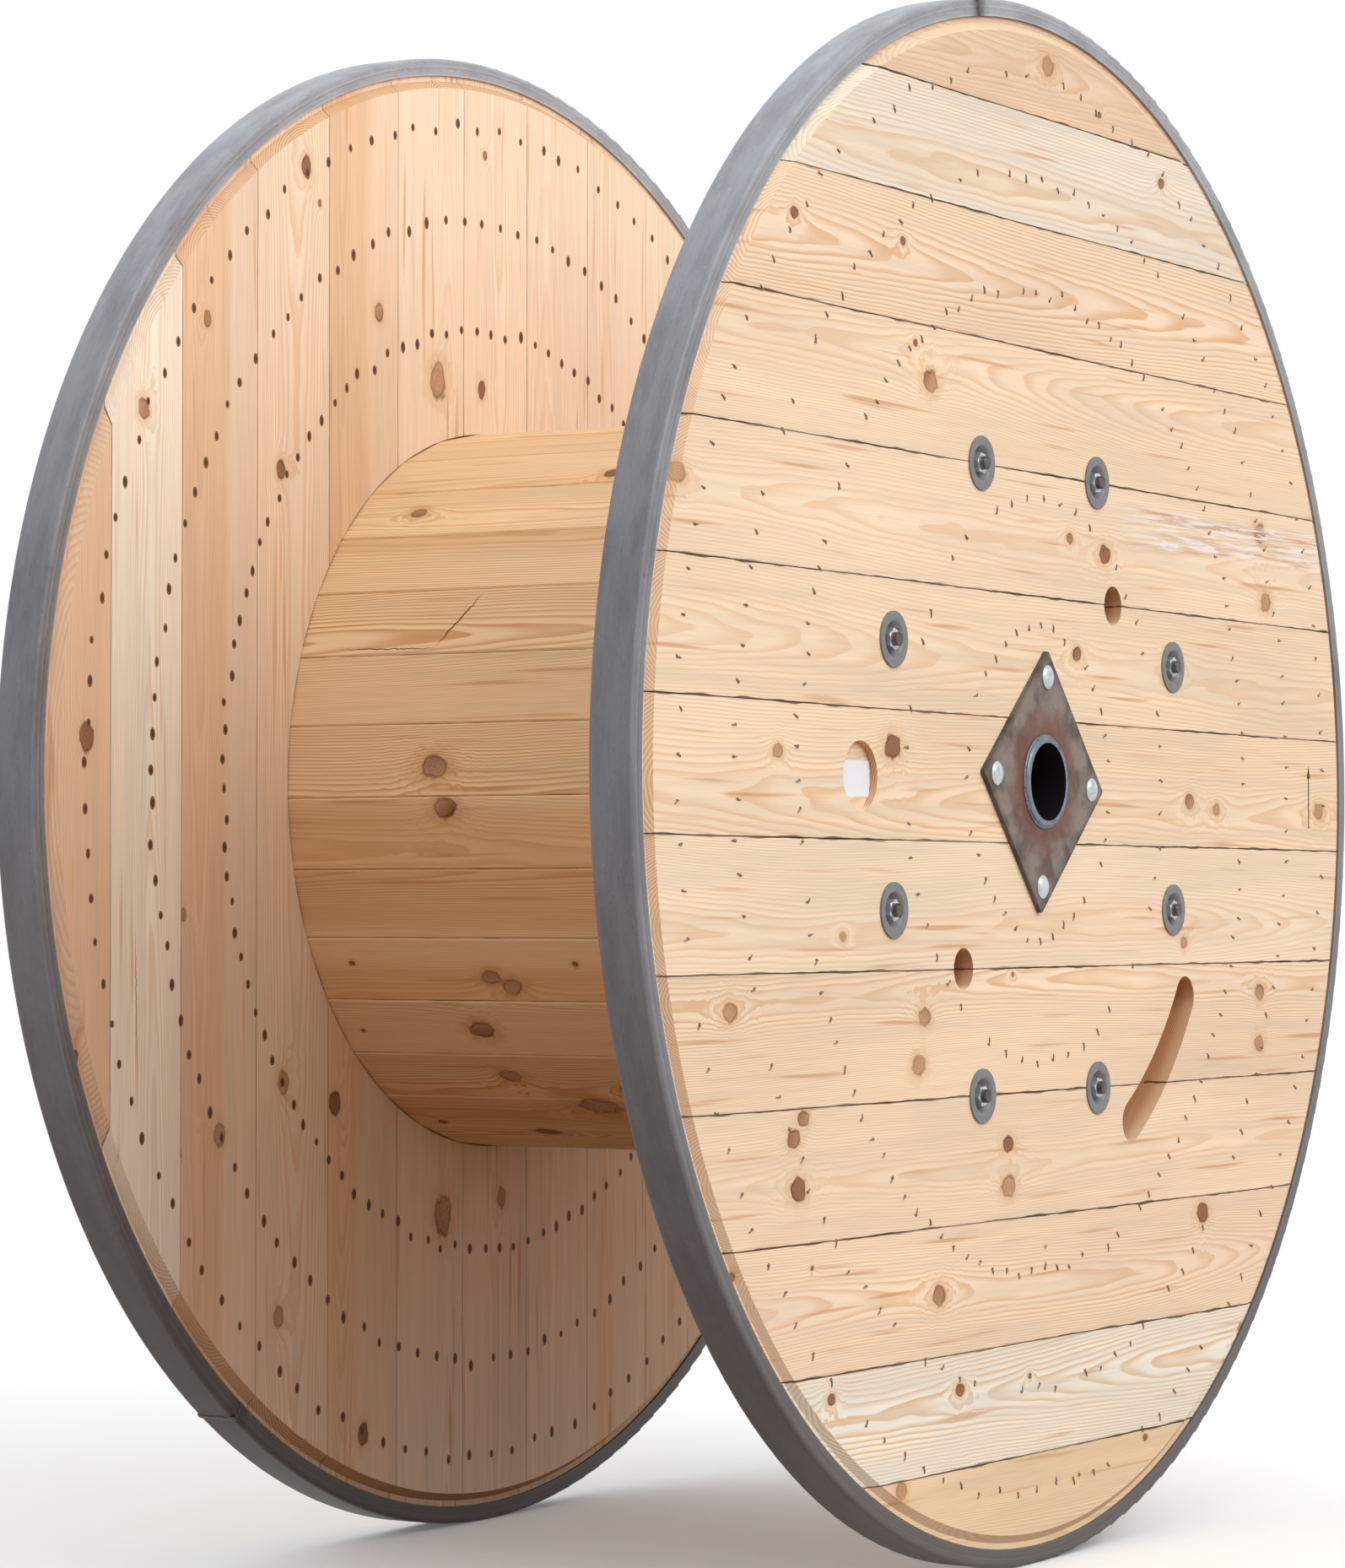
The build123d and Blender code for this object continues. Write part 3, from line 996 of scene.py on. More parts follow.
    def dress(self) -> None:
        """Dress every board of the drum."""
        inside_cracks = {2: (Crack((-0.22, -0.028), (-0.50, -0.020), 0.0012),)}
        for number in range(1, self.boards + 1):
            self.single(
                f"near_face_board_{number:02d}",
                Lay.LEVEL,
                10.0 + number,
                FACE_PINE,
                knots=self.face_knots(number),
                smear=self.smear if number == self.smeared_board else None,
                tone=self.face_tones[number - 1],
            )
            self.single(
                f"far_inside_board_{number:02d}",
                Lay.UPRIGHT,
                40.0 + number,
                INSIDE_PINE,
                knots=self.inside_knots(number),
                cracks=inside_cracks.get(number, ()),
                tone=self.inside_tones[number - 1],
            )
        self.whole_layer("near_inside_boards", Lay.UPRIGHT, 70.0, INSIDE_PINE)
        self.whole_layer("far_face_boards", Lay.LEVEL, 90.0, FACE_PINE)
        LOG.info("boards dressed")


def paint(node: str, material: bpy.types.Material) -> None:
    """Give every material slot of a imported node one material.

    Args:
        node: The node's name.
        material: Its material.
    """
    mesh = bpy.data.objects[node].data
    mesh.materials.clear()
    mesh.materials.append(material)


@dataclass
class Core:
    """The staves and the ring inside them."""

    stave_count: int = 33
    start_angle: float = 2.5
    flat_radius: float = 0.607
    first_seed: float = 120.0

    def marks(self) -> tuple[tuple[Knot, ...], tuple[Crack, ...]]:
        """Give the large knots and the cracks of the staves, counted round from +X towards +Z."""
        first = self.first_seed
        knots = (
            Knot(0.357, -0.002, 0.010, first + 12),
            Knot(0.198, 0.011, 0.017, first + 16),
            Knot(0.178, -0.040, 0.015, first + 17),
            Knot(0.147, 0.013, 0.012, first + 19),
            Knot(0.111, 0.030, 0.013, first + 19),
            Knot(0.205, 0.003, 0.016, first + 20),
            Knot(0.202, -0.002, 0.014, first + 21),
            Knot(0.075, -0.034, 0.026, first + 22),
            Knot(0.238, -0.035, 0.016, first + 23),
        )
        cracks = (
            Crack((0.225, 0.050), (0.150, -0.056), 0.0022, first + 14),
            Crack((0.205, 0.049), (0.430, 0.045), 0.0014, first + 14),
        )
        return knots, cracks

    def dress(self) -> None:
        """Dress the staves, each with grain of its own, and the ring."""
        shader = Shader("pine_staves")
        s = shader
        x, y, z = s.place()
        step = 2 * math.pi / self.stave_count
        start = math.radians(self.start_angle)
        turn = s.math("ARCTAN2", z, x)
        number = s.math("ROUND", s.math("DIVIDE", s.minus(turn, start), step))
        number = s.math("FLOORED_MODULO", s.add(number, self.stave_count), self.stave_count)
        angle = s.add(s.times(number, step), start)
        cosine = s.math("COSINE", angle)
        sine = s.math("SINE", angle)
        out = s.add(s.times(x, cosine), s.times(z, sine))
        across = s.minus(s.times(z, cosine), s.times(x, sine))
        depth = s.minus(self.flat_radius, out)
        half = self.flat_radius * math.tan(step / 2)
        knots, cracks = self.marks()
        place = BoardPlace(y, across, depth, s.add(number, self.first_seed), half, 1)
        STAVE_PINE.dress(s, place, knots, cracks)
        paint("core_staves", s.material)
        ring = Shader("pine_ring")
        x, y, z = ring.place()
        STAVE_PINE.dress(ring, BoardPlace(x, z, y, 160.0, 1.0, 0))
        paint("core_ring", ring.material)
        LOG.info("core dressed")


@dataclass
class Rims:
    """The steel rims, each a rolled strip that is closed by one weld."""

    radius: float = 1.25
    lip: float = 0.029
    weld_angles: dict[Side, float] = field(default_factory=lambda: {Side.NEAR: 99.5, Side.FAR: -126.0})
    bead_width: float = 0.0055
    bead_height: float = 0.0016
    burn_reach: float = 0.045
    # Painted shade and painted reflection towards the bottom, painted light towards the top
    painted_low_shade: tuple = srgb(62, 46, 34)
    painted_light_split: float = 0.1
    painted_top_light_gain: float = 0.75

    def material(self, side: Side) -> bpy.types.Material:
        """Make the steel of a rim, whose streaks run round the axis and which the weld has burnt, with wear and painted
        highlights on its lips, painted light towards the top and painted shade towards the bottom.

        Args:
            side: Which rim.

        Returns:
            The material.
        """
        s = Shader(f"{side.name.lower()}_rim_scale")
        x, y, z = s.place()
        weld = math.radians(self.weld_angles[side])
        turn = weld - math.pi
        along_x = s.add(s.times(x, math.cos(turn)), s.times(z, math.sin(turn)))
        along_z = s.minus(s.times(z, math.cos(turn)), s.times(x, math.sin(turn)))
        angle = s.math("ARCTAN2", along_z, along_x)
        radius = s.length(x, z)
        streaks = s.join(s.times(angle, 7.0), s.times(y, 300.0), s.times(radius, 300.0))
        blotches = s.join(s.times(angle, 9.0), s.times(y, 26.0), s.times(radius, 26.0))
        from_weld = s.times(s.minus(math.pi, s.math("ABSOLUTE", angle)), self.radius)
        smoke = s.noise(s.join(s.times(x, 60), s.times(y, 60), s.times(z, 60)), 3)
        burnt = s.smooth(s.add(from_weld, s.times(smoke, 0.03)), self.burn_reach + 0.012, 0.012)
        flat = s.math("ABSOLUTE", y)
        on_lip = s.smooth(radius, self.radius - 0.0015, self.radius - 0.0035)
        # Wear and painted highlights: bright lines along the lip and its inner edge, with a darker line between them
        wear_and_highlight = s.add(
            s.times(s.ridge(radius, self.radius - 0.0135, 0.0014), 0.5),
            s.times(s.ridge(radius, self.radius - self.lip + 0.0015, 0.0016), 0.6),
        )
        wear_and_highlight = s.minus(wear_and_highlight, s.times(s.ridge(radius, self.radius - 0.0165, 0.003), 0.25))
        wear_and_highlight = s.times(wear_and_highlight, on_lip)
        # Painted highlights where the band meets the lips
        corner_highlight = s.math("MAXIMUM", s.ridge(flat, 0.5615, 0.003), s.ridge(flat, 0.4905, 0.003))
        wear_and_highlight = s.add(wear_and_highlight, s.times(s.times(corner_highlight, s.minus(1.0, on_lip)), 0.3))
        # Painted light: the steel grows brighter towards the top
        painted_top_light = s.times(s.smooth(z, self.painted_light_split, self.radius), self.painted_top_light_gain)
        MILL_SCALE.dress(s, blotches, streaks, burnt=s.times(burnt, 0.9), bright=s.add(wear_and_highlight, painted_top_light))
        # Painted shade and painted reflection: the steel turns dark brown towards the bottom
        painted_low_shade_share = s.smooth(s.add(z, s.times(s.minus(smoke, 0.5), 0.3)), self.painted_light_split, -self.radius)
        steel = s.surface.inputs["Base Color"].links[0].from_socket
        s.feed(s.surface.inputs["Base Color"], s.blend(s.times(painted_low_shade_share, 0.8), steel, self.painted_low_shade))
        return s.material

    def weld(self, side: Side) -> None:
        """Lay the bead of a weld up one lip, across the band and down the other lip.

        Args:
            side: Which rim.
        """
        node = f"{side.name.lower()}_rim"
        low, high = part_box(node)
        angle = math.radians(self.weld_angles[side])
        inner = self.radius - self.lip
        corners = [(inner, low.y), (self.radius, low.y), (self.radius, high.y), (inner, high.y)]
        outline = []
        for (radius_0, y_0), (radius_1, y_1) in zip(corners, corners[1:]):
            steps = max(2, round(math.hypot(radius_1 - radius_0, y_1 - y_0) / 0.004))
            for step in range(steps):
                share = step / steps
                outline.append((radius_0 + (radius_1 - radius_0) * share, y_0 + (y_1 - y_0) * share))
        outline.append(corners[-1])
        draw = random.Random(node)
        rings = []
        middle_y = (low.y + high.y) / 2
        for radius, y in outline:
            swell = draw.uniform(0.75, 1.15)
            out = Vector((radius - inner + 0.02, 0.0)) if abs(y - middle_y) < 0.03 else Vector((0.0, 1.0))
            rise_y = 0.0 if out.x else math.copysign(1.0, y - middle_y)
            rise_radius = 1.0 if out.x else 0.0
            ring = []
            for step in range(7):
                turn = math.pi * step / 6
                sideways = self.bead_width * swell * math.cos(turn) / self.radius
                height = (self.bead_height * math.sin(turn) - 0.0004) * swell
                ring.append(polar(radius + height * rise_radius, angle + sideways, y + height * rise_y))
            rings.append(ring)
        form = Form()
        form.skin(rings)
        bead = Shader(f"{node}_bead")
        x, y, z = bead.place()
        lumps = bead.join(bead.times(x, 160), bead.times(y, 160), bead.times(z, 160))
        ROD_STEEL.dress(bead, lumps, lumps)
        form.piece(f"{node}_weld", bead.material, "rim_steel", True)

    def dress(self) -> None:
        """Dress both rims and weld them shut."""
        for side in Side:
            paint(f"{side.name.lower()}_rim", self.material(side))
            self.weld(side)
        LOG.info("rims dressed and welded")


@dataclass
class Bush:
    """The plates and tubes of the axle bush, with their bolts."""

    tube_radius: float = 0.073
    bore_radius: float = 0.0625
    tint_reach: float = 0.06
    plate_half: float = 0.15
    plate_turn: float = 41.7
    weld_height: float = 0.004
    weld_points: int = 72

    def plate_material(self) -> bpy.types.Material:
        """Make the plate's steel, rust-brown where the weld has heated it."""
        s = Shader("plate_scale")
        x, y, z = s.place()
        radius = s.length(x, z)
        smoke = s.noise(s.join(s.times(x, 24), s.times(y, 24), s.times(z, 24)), 4, 0.6)
        reach = s.add(s.minus(radius, self.tube_radius), s.times(s.minus(smoke, 0.5), -0.08))
        tinted = s.times(s.smooth(reach, self.tint_reach, 0.006), 0.85)
        turn = math.radians(self.plate_turn)
        across = s.add(s.times(x, math.cos(turn)), s.times(z, math.sin(turn)))
        upward = s.minus(s.times(z, math.cos(turn)), s.times(x, math.sin(turn)))
        out = s.math("MAXIMUM", s.math("ABSOLUTE", across), s.math("ABSOLUTE", upward))
        rim = s.smooth(s.add(out, s.times(s.minus(smoke, 0.5), 0.03)), self.plate_half - 0.014, self.plate_half)
        seam = s.times(s.smooth(s.minus(radius, self.tube_radius), 0.007, 0.001), 0.7)
        edge = s.math("MAXIMUM", seam, s.times(rim, 0.45))
        place = s.join(s.times(x, 22), s.times(y, 22), s.times(z, 22))
        slant = s.join(s.times(s.add(x, z), 30), s.times(y, 60), s.times(s.minus(x, z), 180))
        PLATE_SCALE.dress(s, place, slant, burnt=edge, tinted=tinted)
        return s.material

    def tube_material(self) -> bpy.types.Material:
        """Make the tube's steel, bright at its end, and painted nearly black with shade in the bore."""
        s = Shader("tube_scale")
        x, y, z = s.place()
        place = s.join(s.times(x, 45), s.times(y, 45), s.times(z, 45))
        TUBE_SCALE.dress(s, place, place)
        # Painted shade: the bore's wall gets a nearly black surface
        bore = s.tree.nodes.new("ShaderNodeBsdfPrincipled")
        bore.inputs["Base Color"].default_value = BORE_PAINTED_SHADE.colour
        bore.inputs["Roughness"].default_value = BORE_PAINTED_SHADE.roughness
        bore.inputs["Specular IOR Level"].default_value = 0.15
        share = s.smooth(s.length(x, z), self.bore_radius + 0.0006, self.bore_radius + 0.0001)
        mix = s.tree.nodes.new("ShaderNodeMixShader")
        s.feed(mix.inputs[0], share)
        s.tree.links.new(s.surface.outputs["BSDF"], mix.inputs[1])
        s.tree.links.new(bore.outputs["BSDF"], mix.inputs[2])
        s.tree.links.new(mix.outputs[0], s.output.inputs["Surface"])
        return s.material

    def weld(self, side: Side, material: bpy.types.Material) -> None:
        """Lay the weld that joins tube and plate.

        Args:
            side: Which flange.
            material: The weld's material.
        """
        name = side.name.lower()
        low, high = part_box(f"{name}_bush_plate")
        face = low.y if side is Side.NEAR else high.y
        draw = random.Random(name)
        form = Form()
        rings = []
        for step in range(self.weld_points):
            angle = 2 * math.pi * step / self.weld_points
            size = self.weld_height * draw.uniform(0.8, 1.15)
            section = []
            for inward, out in ((-0.001, -0.0005), (size, -0.0005), (size * 0.55, size * 0.5), (-0.001, size)):
                section.append(polar(self.tube_radius + inward, angle, face + side.value * out))
            rings.append(section)
        form.skin([*rings, rings[0]], False, False)
        form.piece(f"{name}_bush_weld", material, "bush_steel", True)

    def dress(self) -> None:
        """Dress plates, tubes and bolts and lay the welds."""
        plate = self.plate_material()
        tube = self.tube_material()
        bolts = even_steel("zinc", ZINC, 90)
        bead = even_steel("bush_bead", TUBE_SCALE, 120)
        for side in Side:
            name = side.name.lower()
            paint(f"{name}_bush_plate", plate)
            paint(f"{name}_bush_tube", tube)
            for part in ("plate_bolts", "plate_washers", "plate_nuts", "rod_nuts"):
                paint(f"{name}_{part}", bolts)
            self.weld(side, bead)
        LOG.info("bush dressed")


def even_steel(name: str, steel: Steel, scale: float) -> bpy.types.Material:
    """Make steel with even blotches and streaks.

    Args:
        name: The material's name.
        steel: Its finish.
        scale: How fine its blotches are.

    Returns:
        The material.
    """
    s = Shader(name)
    x, y, z = s.place()
    place = s.join(s.times(x, scale), s.times(y, scale), s.times(z, scale))
    streaks = s.join(s.times(x, scale * 4), s.times(y, scale * 4), s.times(z, scale * 0.8))
    steel.dress(s, place, streaks)
    return s.material


@dataclass
class TieRods:
    """The tie rods with their cup washers, and the threads on their ends."""

    count: int = 8
    root_radius: float = 0.01
    thread_height: float = 0.0007
    pitch: float = 0.0025
    points: int = 28

    def threads(self, side: Side, material: bpy.types.Material) -> None:
        """Cut the threads of the rod ends that stand out of the nuts.

        Args:
            side: Which flange.
            material: Their material.
        """
        name = side.name.lower()
        nut_low, nut_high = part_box(f"{name}_rod_nuts")
        form = Form()
        for number in range(1, self.count + 1):
            low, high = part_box(f"tie_rod_{number}")
            centre = (low + high) / 2
            if side is Side.NEAR:
                start, end = nut_low.y, low.y
            else:
                start, end = nut_high.y, high.y
            turns = int(abs(end - start) / self.pitch)
            for turn in range(turns):
                base = start + side.value * (turn * self.pitch + 0.0002)
                rings = []
                for out, height in ((0.0, -0.0003), (0.4, self.thread_height), (0.6, self.thread_height), (1.0, -0.0003)):
                    radius = self.root_radius + height
                    y = base + side.value * out * self.pitch
                    rings.append(
                        [
                            Vector((centre.x, 0, centre.z)) + polar(radius, 2 * math.pi * step / self.points, y)
                            for step in range(self.points)
                        ]
                    )
                form.skin(rings, False, False)
        form.piece(f"{name}_rod_threads", material, "zinc_steel", True)

    def dress(self) -> None:
        """Dress rods and washers and cut the threads."""
        rod = even_steel("rod_steel", ROD_STEEL, 60)
        cup = even_steel("cup_steel", CUP_STEEL, 60)
        for number in range(1, self.count + 1):
            paint(f"tie_rod_{number}", rod)
        for side in Side:
            paint(f"{side.name.lower()}_cup_washers", cup)
            self.threads(side, rod)
        LOG.info("tie rods dressed")


@dataclass
class NailRing:
    """A ring of nails round the axis."""

    radius: float
    count: int


@dataclass
class Nails:
    """The nails of the flanges: driven from inside, and bent over on the outside."""

    rings: tuple[NailRing, ...] = (
        NailRing(1.135, 108),
        NailRing(0.972, 108),
        NailRing(0.787, 108),
        NailRing(0.452, 50),
        NailRing(0.250, 36),
    )
    core_radius: float = 0.612
    shank_radius: float = 0.0012
    head_radius: float = 0.0056
    sunk_share: float = 0.12

    def places(self, side: Side) -> list[tuple[float, float]]:
        """List where nails go through a flange, as distance from the axis and angle.

        Args:
            side: Which flange.

        Returns:
            The places.
        """
        draw = random.Random(f"nails {side.name}")
        places = []
        for ring in self.rings:
            start = draw.uniform(0, 2 * math.pi)
            for step in range(ring.count):
                angle = start + 2 * math.pi * step / ring.count + draw.gauss(0, 0.003)
                places.append((ring.radius + draw.gauss(0, 0.004), angle))
        return places

    def is_clear(self, side: Side, rods: list[Vector], radius: float, angle: float) -> bool:
        """Say whether a nail's place has solid wood, clear of holes, plate, washers and pocket.

        Args:
            side: Which flange.
            rods: The middles of the tie rods.
            radius: The nail's distance from the axis.
            angle: Its angle.

        Returns:
            True if it is clear.
        """
        spot = polar(radius, angle, 0)
        if any(math.hypot(spot.x - rod.x, spot.z - rod.z) < 0.055 for rod in rods):
            return False
        for sign in (-1, 1):
            hole = polar(0.4, math.radians(48), 0) * sign
            if (spot - hole).length < 0.045:
                return False
        turned = math.radians(41.7)
        plate_u = abs(spot.x * math.cos(turned) + spot.z * math.sin(turned))
        plate_v = abs(spot.z * math.cos(turned) - spot.x * math.sin(turned))
        if max(plate_u, plate_v) < 0.16:
            return False
        if side is Side.NEAR:
            in_slot = -66 < math.degrees(math.atan2(spot.z, spot.x)) < -26
            if in_slot and 0.6 < radius < 0.7:
                return False
            if math.hypot(spot.x + 0.6, spot.z + 0.004) < 0.065:
                return False
        return True

    def tip(self, form: Form, torn: Form, spot: Vector, out: float, draw: random.Random) -> None:
        """Bend the end of a nail over, with the fibres that it has torn out.

        Args:
            form: The mesh of the nails.
            torn: The mesh of the torn fibres.
            spot: Where the nail comes out of the face.
            out: The sign of Y that points out of the face.
            draw: The source of chance.
        """
        heading = math.atan2(spot.z, spot.x) + math.radians(draw.gauss(0, 24))
        if draw.random() < 0.3:
            heading += math.pi
        length = draw.uniform(0.007, 0.012)
        ahead = Vector((math.cos(heading), 0, math.sin(heading)))
        lift = Vector((0, out, 0))
        radius = self.shank_radius
        path = [
            spot - lift * 0.001,
            spot + lift * 0.0011 + ahead * 0.0012,
            spot + lift * 0.0014 + ahead * length * 0.45,
            spot + lift * 0.0009 + ahead * length * 0.8,
            spot + lift * 0.0001 + ahead * length,
        ]
        form.tube(path, [radius, radius, radius, radius * 0.8, radius * 0.25], 5)
        ring, rim = [], []
        for step in range(7):
            turn = 2 * math.pi * step / 7
            reach = draw.uniform(0.0016, 0.0034)
            side = Vector((math.cos(turn) * 1.5, 0, math.sin(turn)))
            ring.append(spot + side * reach - ahead * 0.0008 + lift * draw.uniform(0.0001, 0.0009))
            rim.append(spot + side * reach * 1.25 - ahead * 0.0008 - lift * 0.0006)
        torn.skin([rim, ring], False, True)

    def head(self, form: Form, crushed: Form, spot: Vector, out: float, draw: random.Random) -> None:
        """Drive a nail's head home, with the crushed wood round it, both painted dark as the shade of the nail's
        hollow.

        Args:
            form: The mesh of the heads.
            crushed: The mesh of the crushed wood.
            spot: Where the nail goes into the face.
            out: The sign of Y that points out of the face.
            draw: The source of chance.
        """
        size = self.head_radius * draw.uniform(0.85, 1.2)
        stretch = draw.uniform(1.25, 1.7)
        lift = Vector((0, out, 0))

        def ring(radius: float, height: float) -> list[Vector]:
            points = []
            for step in range(10):
                turn = 2 * math.pi * step / 10
                side = Vector((math.cos(turn), 0, math.sin(turn) * stretch))
                points.append(spot + side * radius + lift * height)
            return points

        crushed.skin(
            [ring(size * 1.05, -0.0005), ring(size * 0.96, 0.0003), ring(size * 0.75, 0.0001)], False, True
        )
        form.skin([ring(size * 0.62, 0.0), ring(size * 0.55, 0.0003)], False, True)

    def drive(self) -> None:
        """Drive every nail of both flanges."""
        steel = even_steel("nail_steel", NAIL_STEEL, 300)
        # Painted shade of the nail hollows, on the heads and on the crushed wood
        sunk = even_steel("sunk_head", HEAD_IN_PAINTED_SHADE, 300)
        torn_wood = TORN_WOOD.material("torn_wood")
        crushed_wood = CRUSHED_WOOD_AND_SHADE.material("crushed_wood")
        boxes = [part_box(f"tie_rod_{number}") for number in range(1, 9)]
        rods = [(low + high) / 2 for low, high in boxes]
        for side in Side:
            name = side.name.lower()
            draw = random.Random(f"bends {name}")
            face_node = "near_face_board_07" if side is Side.NEAR else "far_face_boards"
            back_node = "near_inside_boards" if side is Side.NEAR else "far_inside_board_07"
            face_low, face_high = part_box(face_node)
            back_low, back_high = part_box(back_node)
            face_y = face_low.y if side is Side.NEAR else face_high.y
            back_y = back_high.y if side is Side.NEAR else back_low.y
            tips, torn, heads, crushed = Form(), Form(), Form(), Form()
            for radius, angle in self.places(side):
                if not self.is_clear(side, rods, radius, angle):
                    continue
                if draw.random() > self.sunk_share:
                    self.tip(tips, torn, polar(radius, angle, face_y), side.value, draw)
                if radius > self.core_radius:
                    self.head(heads, crushed, polar(radius, angle, back_y), -side.value, draw)
            tips.piece(f"{name}_nail_tips", steel, "zinc_steel", True)
            torn.piece(f"{name}_torn_fibres", torn_wood, "face_pine", False)
            heads.piece(f"{name}_nail_heads", sunk, "zinc_steel", False)
            crushed.piece(f"{name}_nail_hollows", crushed_wood, "inside_pine", False)
        LOG.info("nails driven")


@dataclass
class Marks:
    """The blank tag in the pocket and the plain arrow on the near face."""

    tag_place: tuple = (-0.594, -0.008)
    tag_size: tuple = (0.080, 0.055)
    tag_floor: float = -0.5538
    tag_curl: float = 0.0012
    arrow_x: float = 1.071
    arrow_low: float = -0.060
    arrow_high: float = 0.052
    arrow_width: float = 0.0042
    arrow_head: float = 0.022
    arrow_spread: float = 0.34

    def tag(self) -> None:
        """Stick the blank paper tag to the floor of the pocket, a little curled."""
        form = Form()
        columns = 8
        rings = []
        for step in range(columns + 1):
            share = step / columns
            x = self.tag_place[0] + (share - 0.5) * self.tag_size[0]
            lift = self.tag_curl * (2 * abs(share - 0.5)) ** 2
            low = self.tag_place[1] - self.tag_size[1] / 2 + 0.001 * (share - 0.5)
            high = low + self.tag_size[1]
            y = self.tag_floor - lift
            rings.append(
                [Vector((x, y, low)), Vector((x, y, high)), Vector((x, y - 0.0003, high)), Vector((x, y - 0.0003, low))]
            )
        form.skin(rings)
        form.piece("pocket_tag", PAPER.material("paper"), "face_pine", False)

    def arrow(self) -> None:
        """Mark the plain arrow, a thin coat on the middle board."""
        low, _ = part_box("near_face_board_07")
        under, over = low.y + 0.0002, low.y - 0.00015
        half = self.arrow_width / 2
        x, top, head = self.arrow_x, self.arrow_high, self.arrow_head
        foot = top - head
        wide = head * self.arrow_spread
        shaft = ((x - half, self.arrow_low), (x + half, self.arrow_low), (x + half, foot), (x - half, foot))
        point = ((x - wide, foot), (x + wide, foot), (x, top))
        form = Form()
        for outline in (shaft, point):
            form.skin([[Vector((along, y, up)) for along, up in outline] for y in (under, over)])
        form.piece("arrow_mark", STENCIL_INK.material("ink"), "face_pine", False)

    def build(self) -> None:
        """Make both."""
        self.tag()
        self.arrow()
        LOG.info("tag and arrow made")


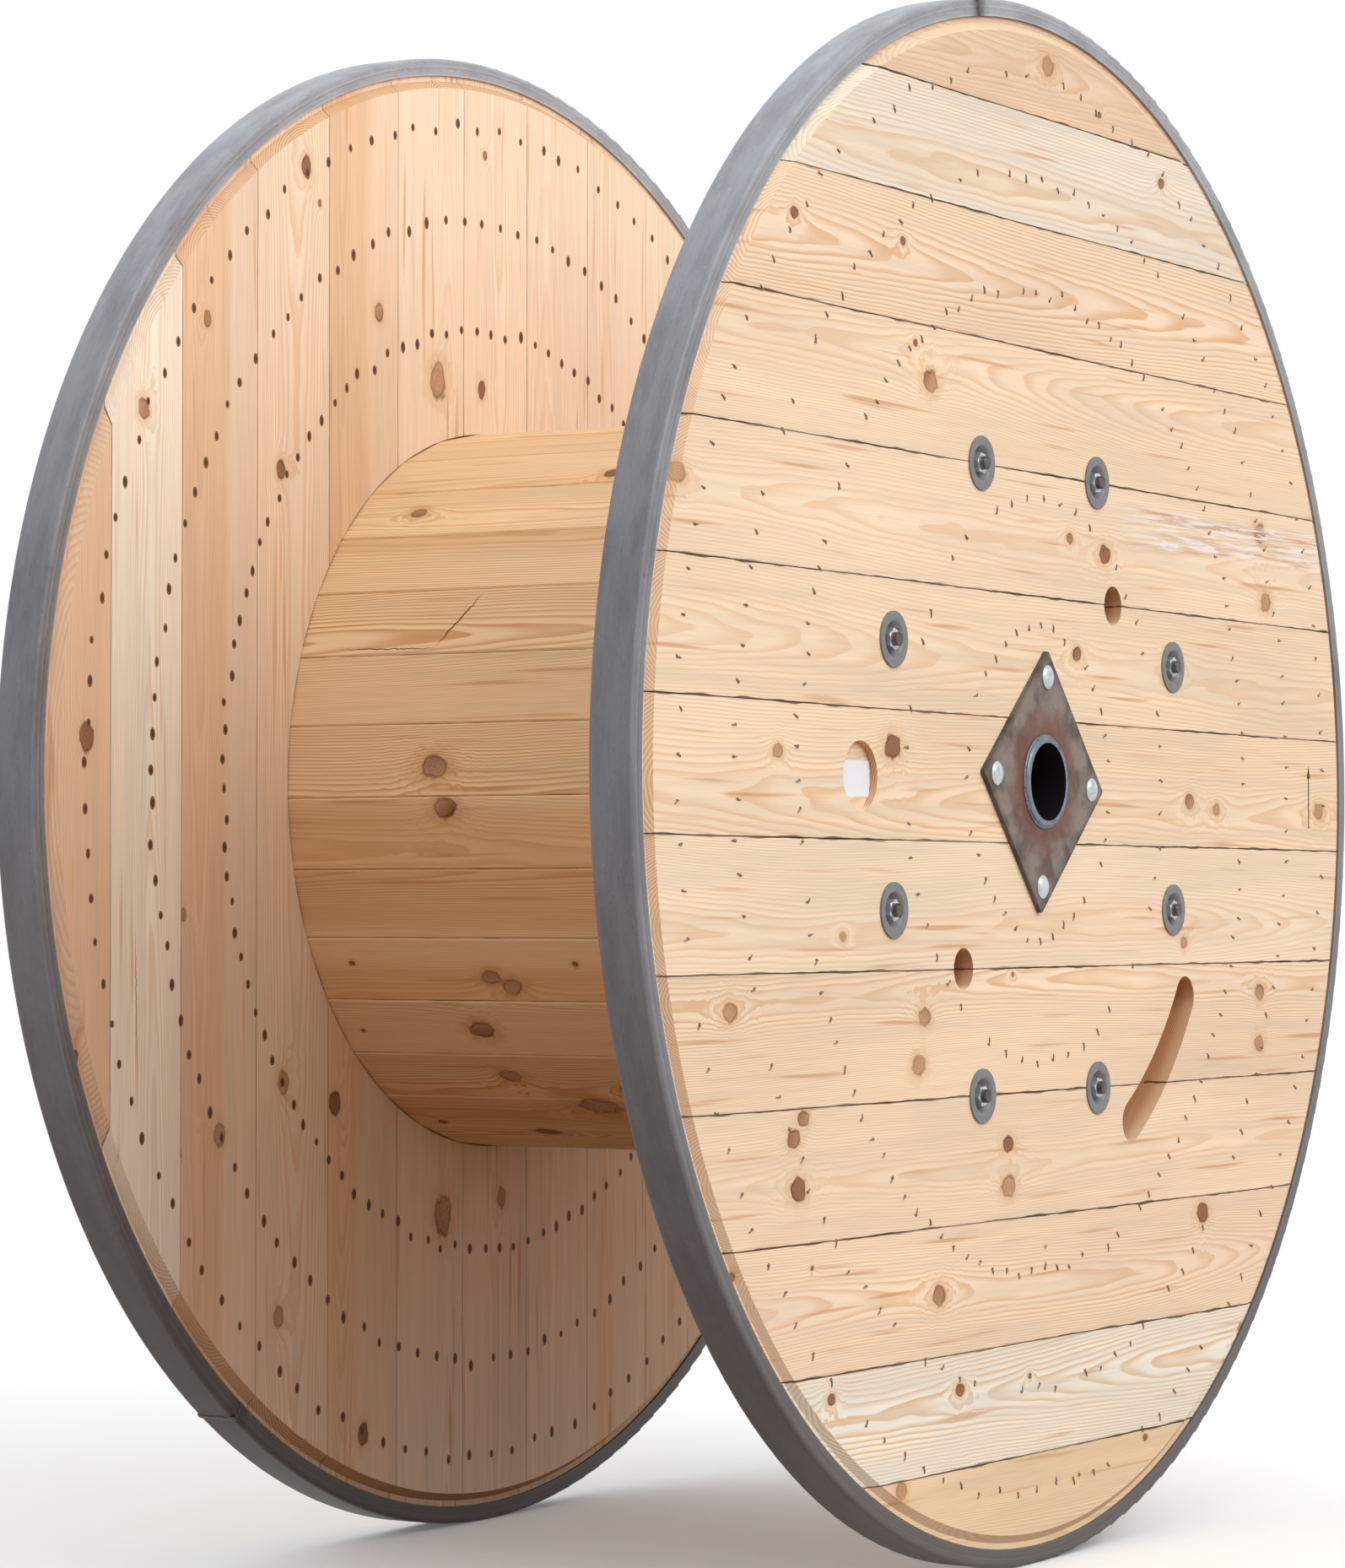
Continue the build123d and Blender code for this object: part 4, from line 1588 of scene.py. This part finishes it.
@dataclass
class Studio:
    """The floor, the light and the camera."""

    focal_pixels: float = 5664.6
    frame_height: float = 1858.0
    sensor: float = 36.0
    place: tuple = (-6.8818, -4.0201, -0.2011)
    yaw: float = 58.943
    pitch: float = 1.475
    floor_reach: float = 60.0
    sky_base: float = 0.51
    sky_above: float = 0.74
    sky_facing: float = 0.74
    sky_beside: float = 0.08
    ground: tuple = (0.2, 0.1, 0.048, 1)

    def camera(self) -> None:
        """Set the camera where the photograph was taken."""
        data = bpy.data.cameras.new("camera")
        data.sensor_width = self.sensor
        data.lens = self.focal_pixels * self.sensor / self.frame_height
        camera = bpy.data.objects.new("camera", data)
        yaw, pitch = math.radians(self.yaw), math.radians(self.pitch)
        look = Vector((math.sin(yaw) * math.cos(pitch), math.cos(yaw) * math.cos(pitch), math.sin(pitch)))
        camera.rotation_euler = look.to_track_quat("-Z", "Y").to_euler()
        camera.location = self.place
        bpy.context.scene.collection.objects.link(camera)
        bpy.context.scene.camera = camera

    def seen(self, tree: bpy.types.NodeTree) -> Socket:
        """Give 1 for rays that show the background to the eye, in metal and through glass.

        Args:
            tree: The node tree.

        Returns:
            The share.
        """
        path = tree.nodes.new("ShaderNodeLightPath")
        share = path.outputs["Is Camera Ray"]
        for name in ("Is Glossy Ray", "Is Transmission Ray"):
            either = tree.nodes.new("ShaderNodeMath")
            either.operation = "MAXIMUM"
            tree.links.new(share, either.inputs[0])
            tree.links.new(path.outputs[name], either.inputs[1])
            share = either.outputs[0]
        return share

    def world(self) -> None:
        """Light the drum from above as an overcast sky does, with white behind it."""
        world = bpy.data.worlds.new("studio")
        bpy.context.scene.world = world
        world.use_nodes = True
        tree = world.node_tree
        tree.nodes.clear()
        output = tree.nodes.new("ShaderNodeOutputWorld")
        sky = tree.nodes.new("ShaderNodeBackground")
        sky.inputs["Color"].default_value = (0.94, 0.97, 1.0, 1)
        place = tree.nodes.new("ShaderNodeTexCoord")
        split = tree.nodes.new("ShaderNodeSeparateXYZ")
        tree.links.new(place.outputs["Generated"], split.inputs[0])
        strength: Value = self.sky_base
        for axis, power, gain in (
            ("Z", 1.0, self.sky_above),
            ("Y", 2.0, self.sky_facing),
            ("X", 2.0, self.sky_beside),
        ):
            size = tree.nodes.new("ShaderNodeMath")
            size.operation = "ABSOLUTE"
            tree.links.new(split.outputs[axis], size.inputs[0])
            shaped = tree.nodes.new("ShaderNodeMath")
            shaped.operation = "POWER"
            tree.links.new(size.outputs[0], shaped.inputs[0])
            shaped.inputs[1].default_value = power
            total = tree.nodes.new("ShaderNodeMath")
            total.operation = "MULTIPLY_ADD"
            tree.links.new(shaped.outputs[0], total.inputs[0])
            total.inputs[1].default_value = gain
            if isinstance(strength, float):
                total.inputs[2].default_value = strength
            else:
                tree.links.new(strength, total.inputs[2])
            strength = total.outputs[0]
        floor = tree.nodes.new("ShaderNodeMath")
        floor.operation = "MAXIMUM"
        tree.links.new(strength, floor.inputs[0])
        floor.inputs[1].default_value = 0.0
        tree.links.new(floor.outputs[0], sky.inputs["Strength"])
        white = tree.nodes.new("ShaderNodeBackground")
        white.inputs["Color"].default_value = (1, 1, 1, 1)
        mix = tree.nodes.new("ShaderNodeMixShader")
        tree.links.new(self.seen(tree), mix.inputs[0])
        tree.links.new(sky.outputs[0], mix.inputs[1])
        tree.links.new(white.outputs[0], mix.inputs[2])
        tree.links.new(mix.outputs[0], output.inputs["Surface"])

    def floor(self) -> None:
        """Lay the floor: white to the eye with the drum's shadow on it, and dull to the light."""
        low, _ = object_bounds()
        mesh = bpy.data.meshes.new("floor")
        reach = self.floor_reach
        corners = [(-reach, -reach, low.z), (reach, -reach, low.z), (reach, reach, low.z), (-reach, reach, low.z)]
        mesh.from_pydata(corners, [], [(0, 1, 2, 3)])
        floor = bpy.data.objects.new("floor", mesh)
        bpy.context.scene.collection.objects.link(floor)
        s = Shader("floor")
        s.surface.inputs["Base Color"].default_value = srgb(238, 237, 235)
        s.surface.inputs["Roughness"].default_value = 0.9
        s.surface.inputs["Specular IOR Level"].default_value = 0.0
        dull = s.tree.nodes.new("ShaderNodeBsdfDiffuse")
        dull.inputs["Color"].default_value = self.ground
        white = s.tree.nodes.new("ShaderNodeEmission")
        white.inputs["Color"].default_value = (1, 1, 1, 1)
        white.inputs["Strength"].default_value = 1.0
        x, _, z = s.place()
        _, y, _ = s.place()
        distance = s.length(x, y)
        far = s.smooth(distance, 1.6, 4.5)
        pale = s.tree.nodes.new("ShaderNodeMixShader")
        s.feed(pale.inputs[0], s.add(s.times(far, 0.9), 0.1))
        s.tree.links.new(s.surface.outputs[0], pale.inputs[1])
        s.tree.links.new(white.outputs[0], pale.inputs[2])
        mix = s.tree.nodes.new("ShaderNodeMixShader")
        s.tree.links.new(self.seen(s.tree), mix.inputs[0])
        s.tree.links.new(dull.outputs[0], mix.inputs[1])
        s.tree.links.new(pale.outputs[0], mix.inputs[2])
        s.tree.links.new(mix.outputs[0], s.output.inputs["Surface"])
        mesh.materials.append(s.material)
        floor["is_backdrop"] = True

    def lamp(self, name: str, place: tuple, size: float, power: float, colour: tuple) -> None:
        """Hang a square lamp that faces the drum.

        Args:
            name: Its name.
            place: Where it hangs.
            size: Its side.
            power: Its power in watts.
            colour: Its colour.
        """
        data = bpy.data.lights.new(name, "AREA")
        data.size = size
        data.energy = power
        data.color = colour
        lamp = bpy.data.objects.new(name, data)
        lamp.location = place
        lamp.rotation_euler = (-Vector(place)).to_track_quat("-Z", "Y").to_euler()
        bpy.context.scene.collection.objects.link(lamp)

    def build(self) -> None:
        """Set up floor, light and camera."""
        bpy.context.scene.view_settings.view_transform = "Standard"
        self.world()
        self.floor()
        self.lamp("key", (-1.0, -8.5, 6.0), 6.0, 400.0, (1.0, 0.99, 0.98))
        self.camera()
        LOG.info("studio ready")


def main() -> None:
    """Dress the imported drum, piece by piece, and set up the studio round it."""
    logging.basicConfig(level=logging.INFO, format="%(name)s: %(message)s")
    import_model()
    BoardLayers().dress()
    Core().dress()
    Rims().dress()
    Bush().dress()
    TieRods().dress()
    Nails().drive()
    Marks().build()
    Studio().build()


if __name__ == "__main__":
    main()
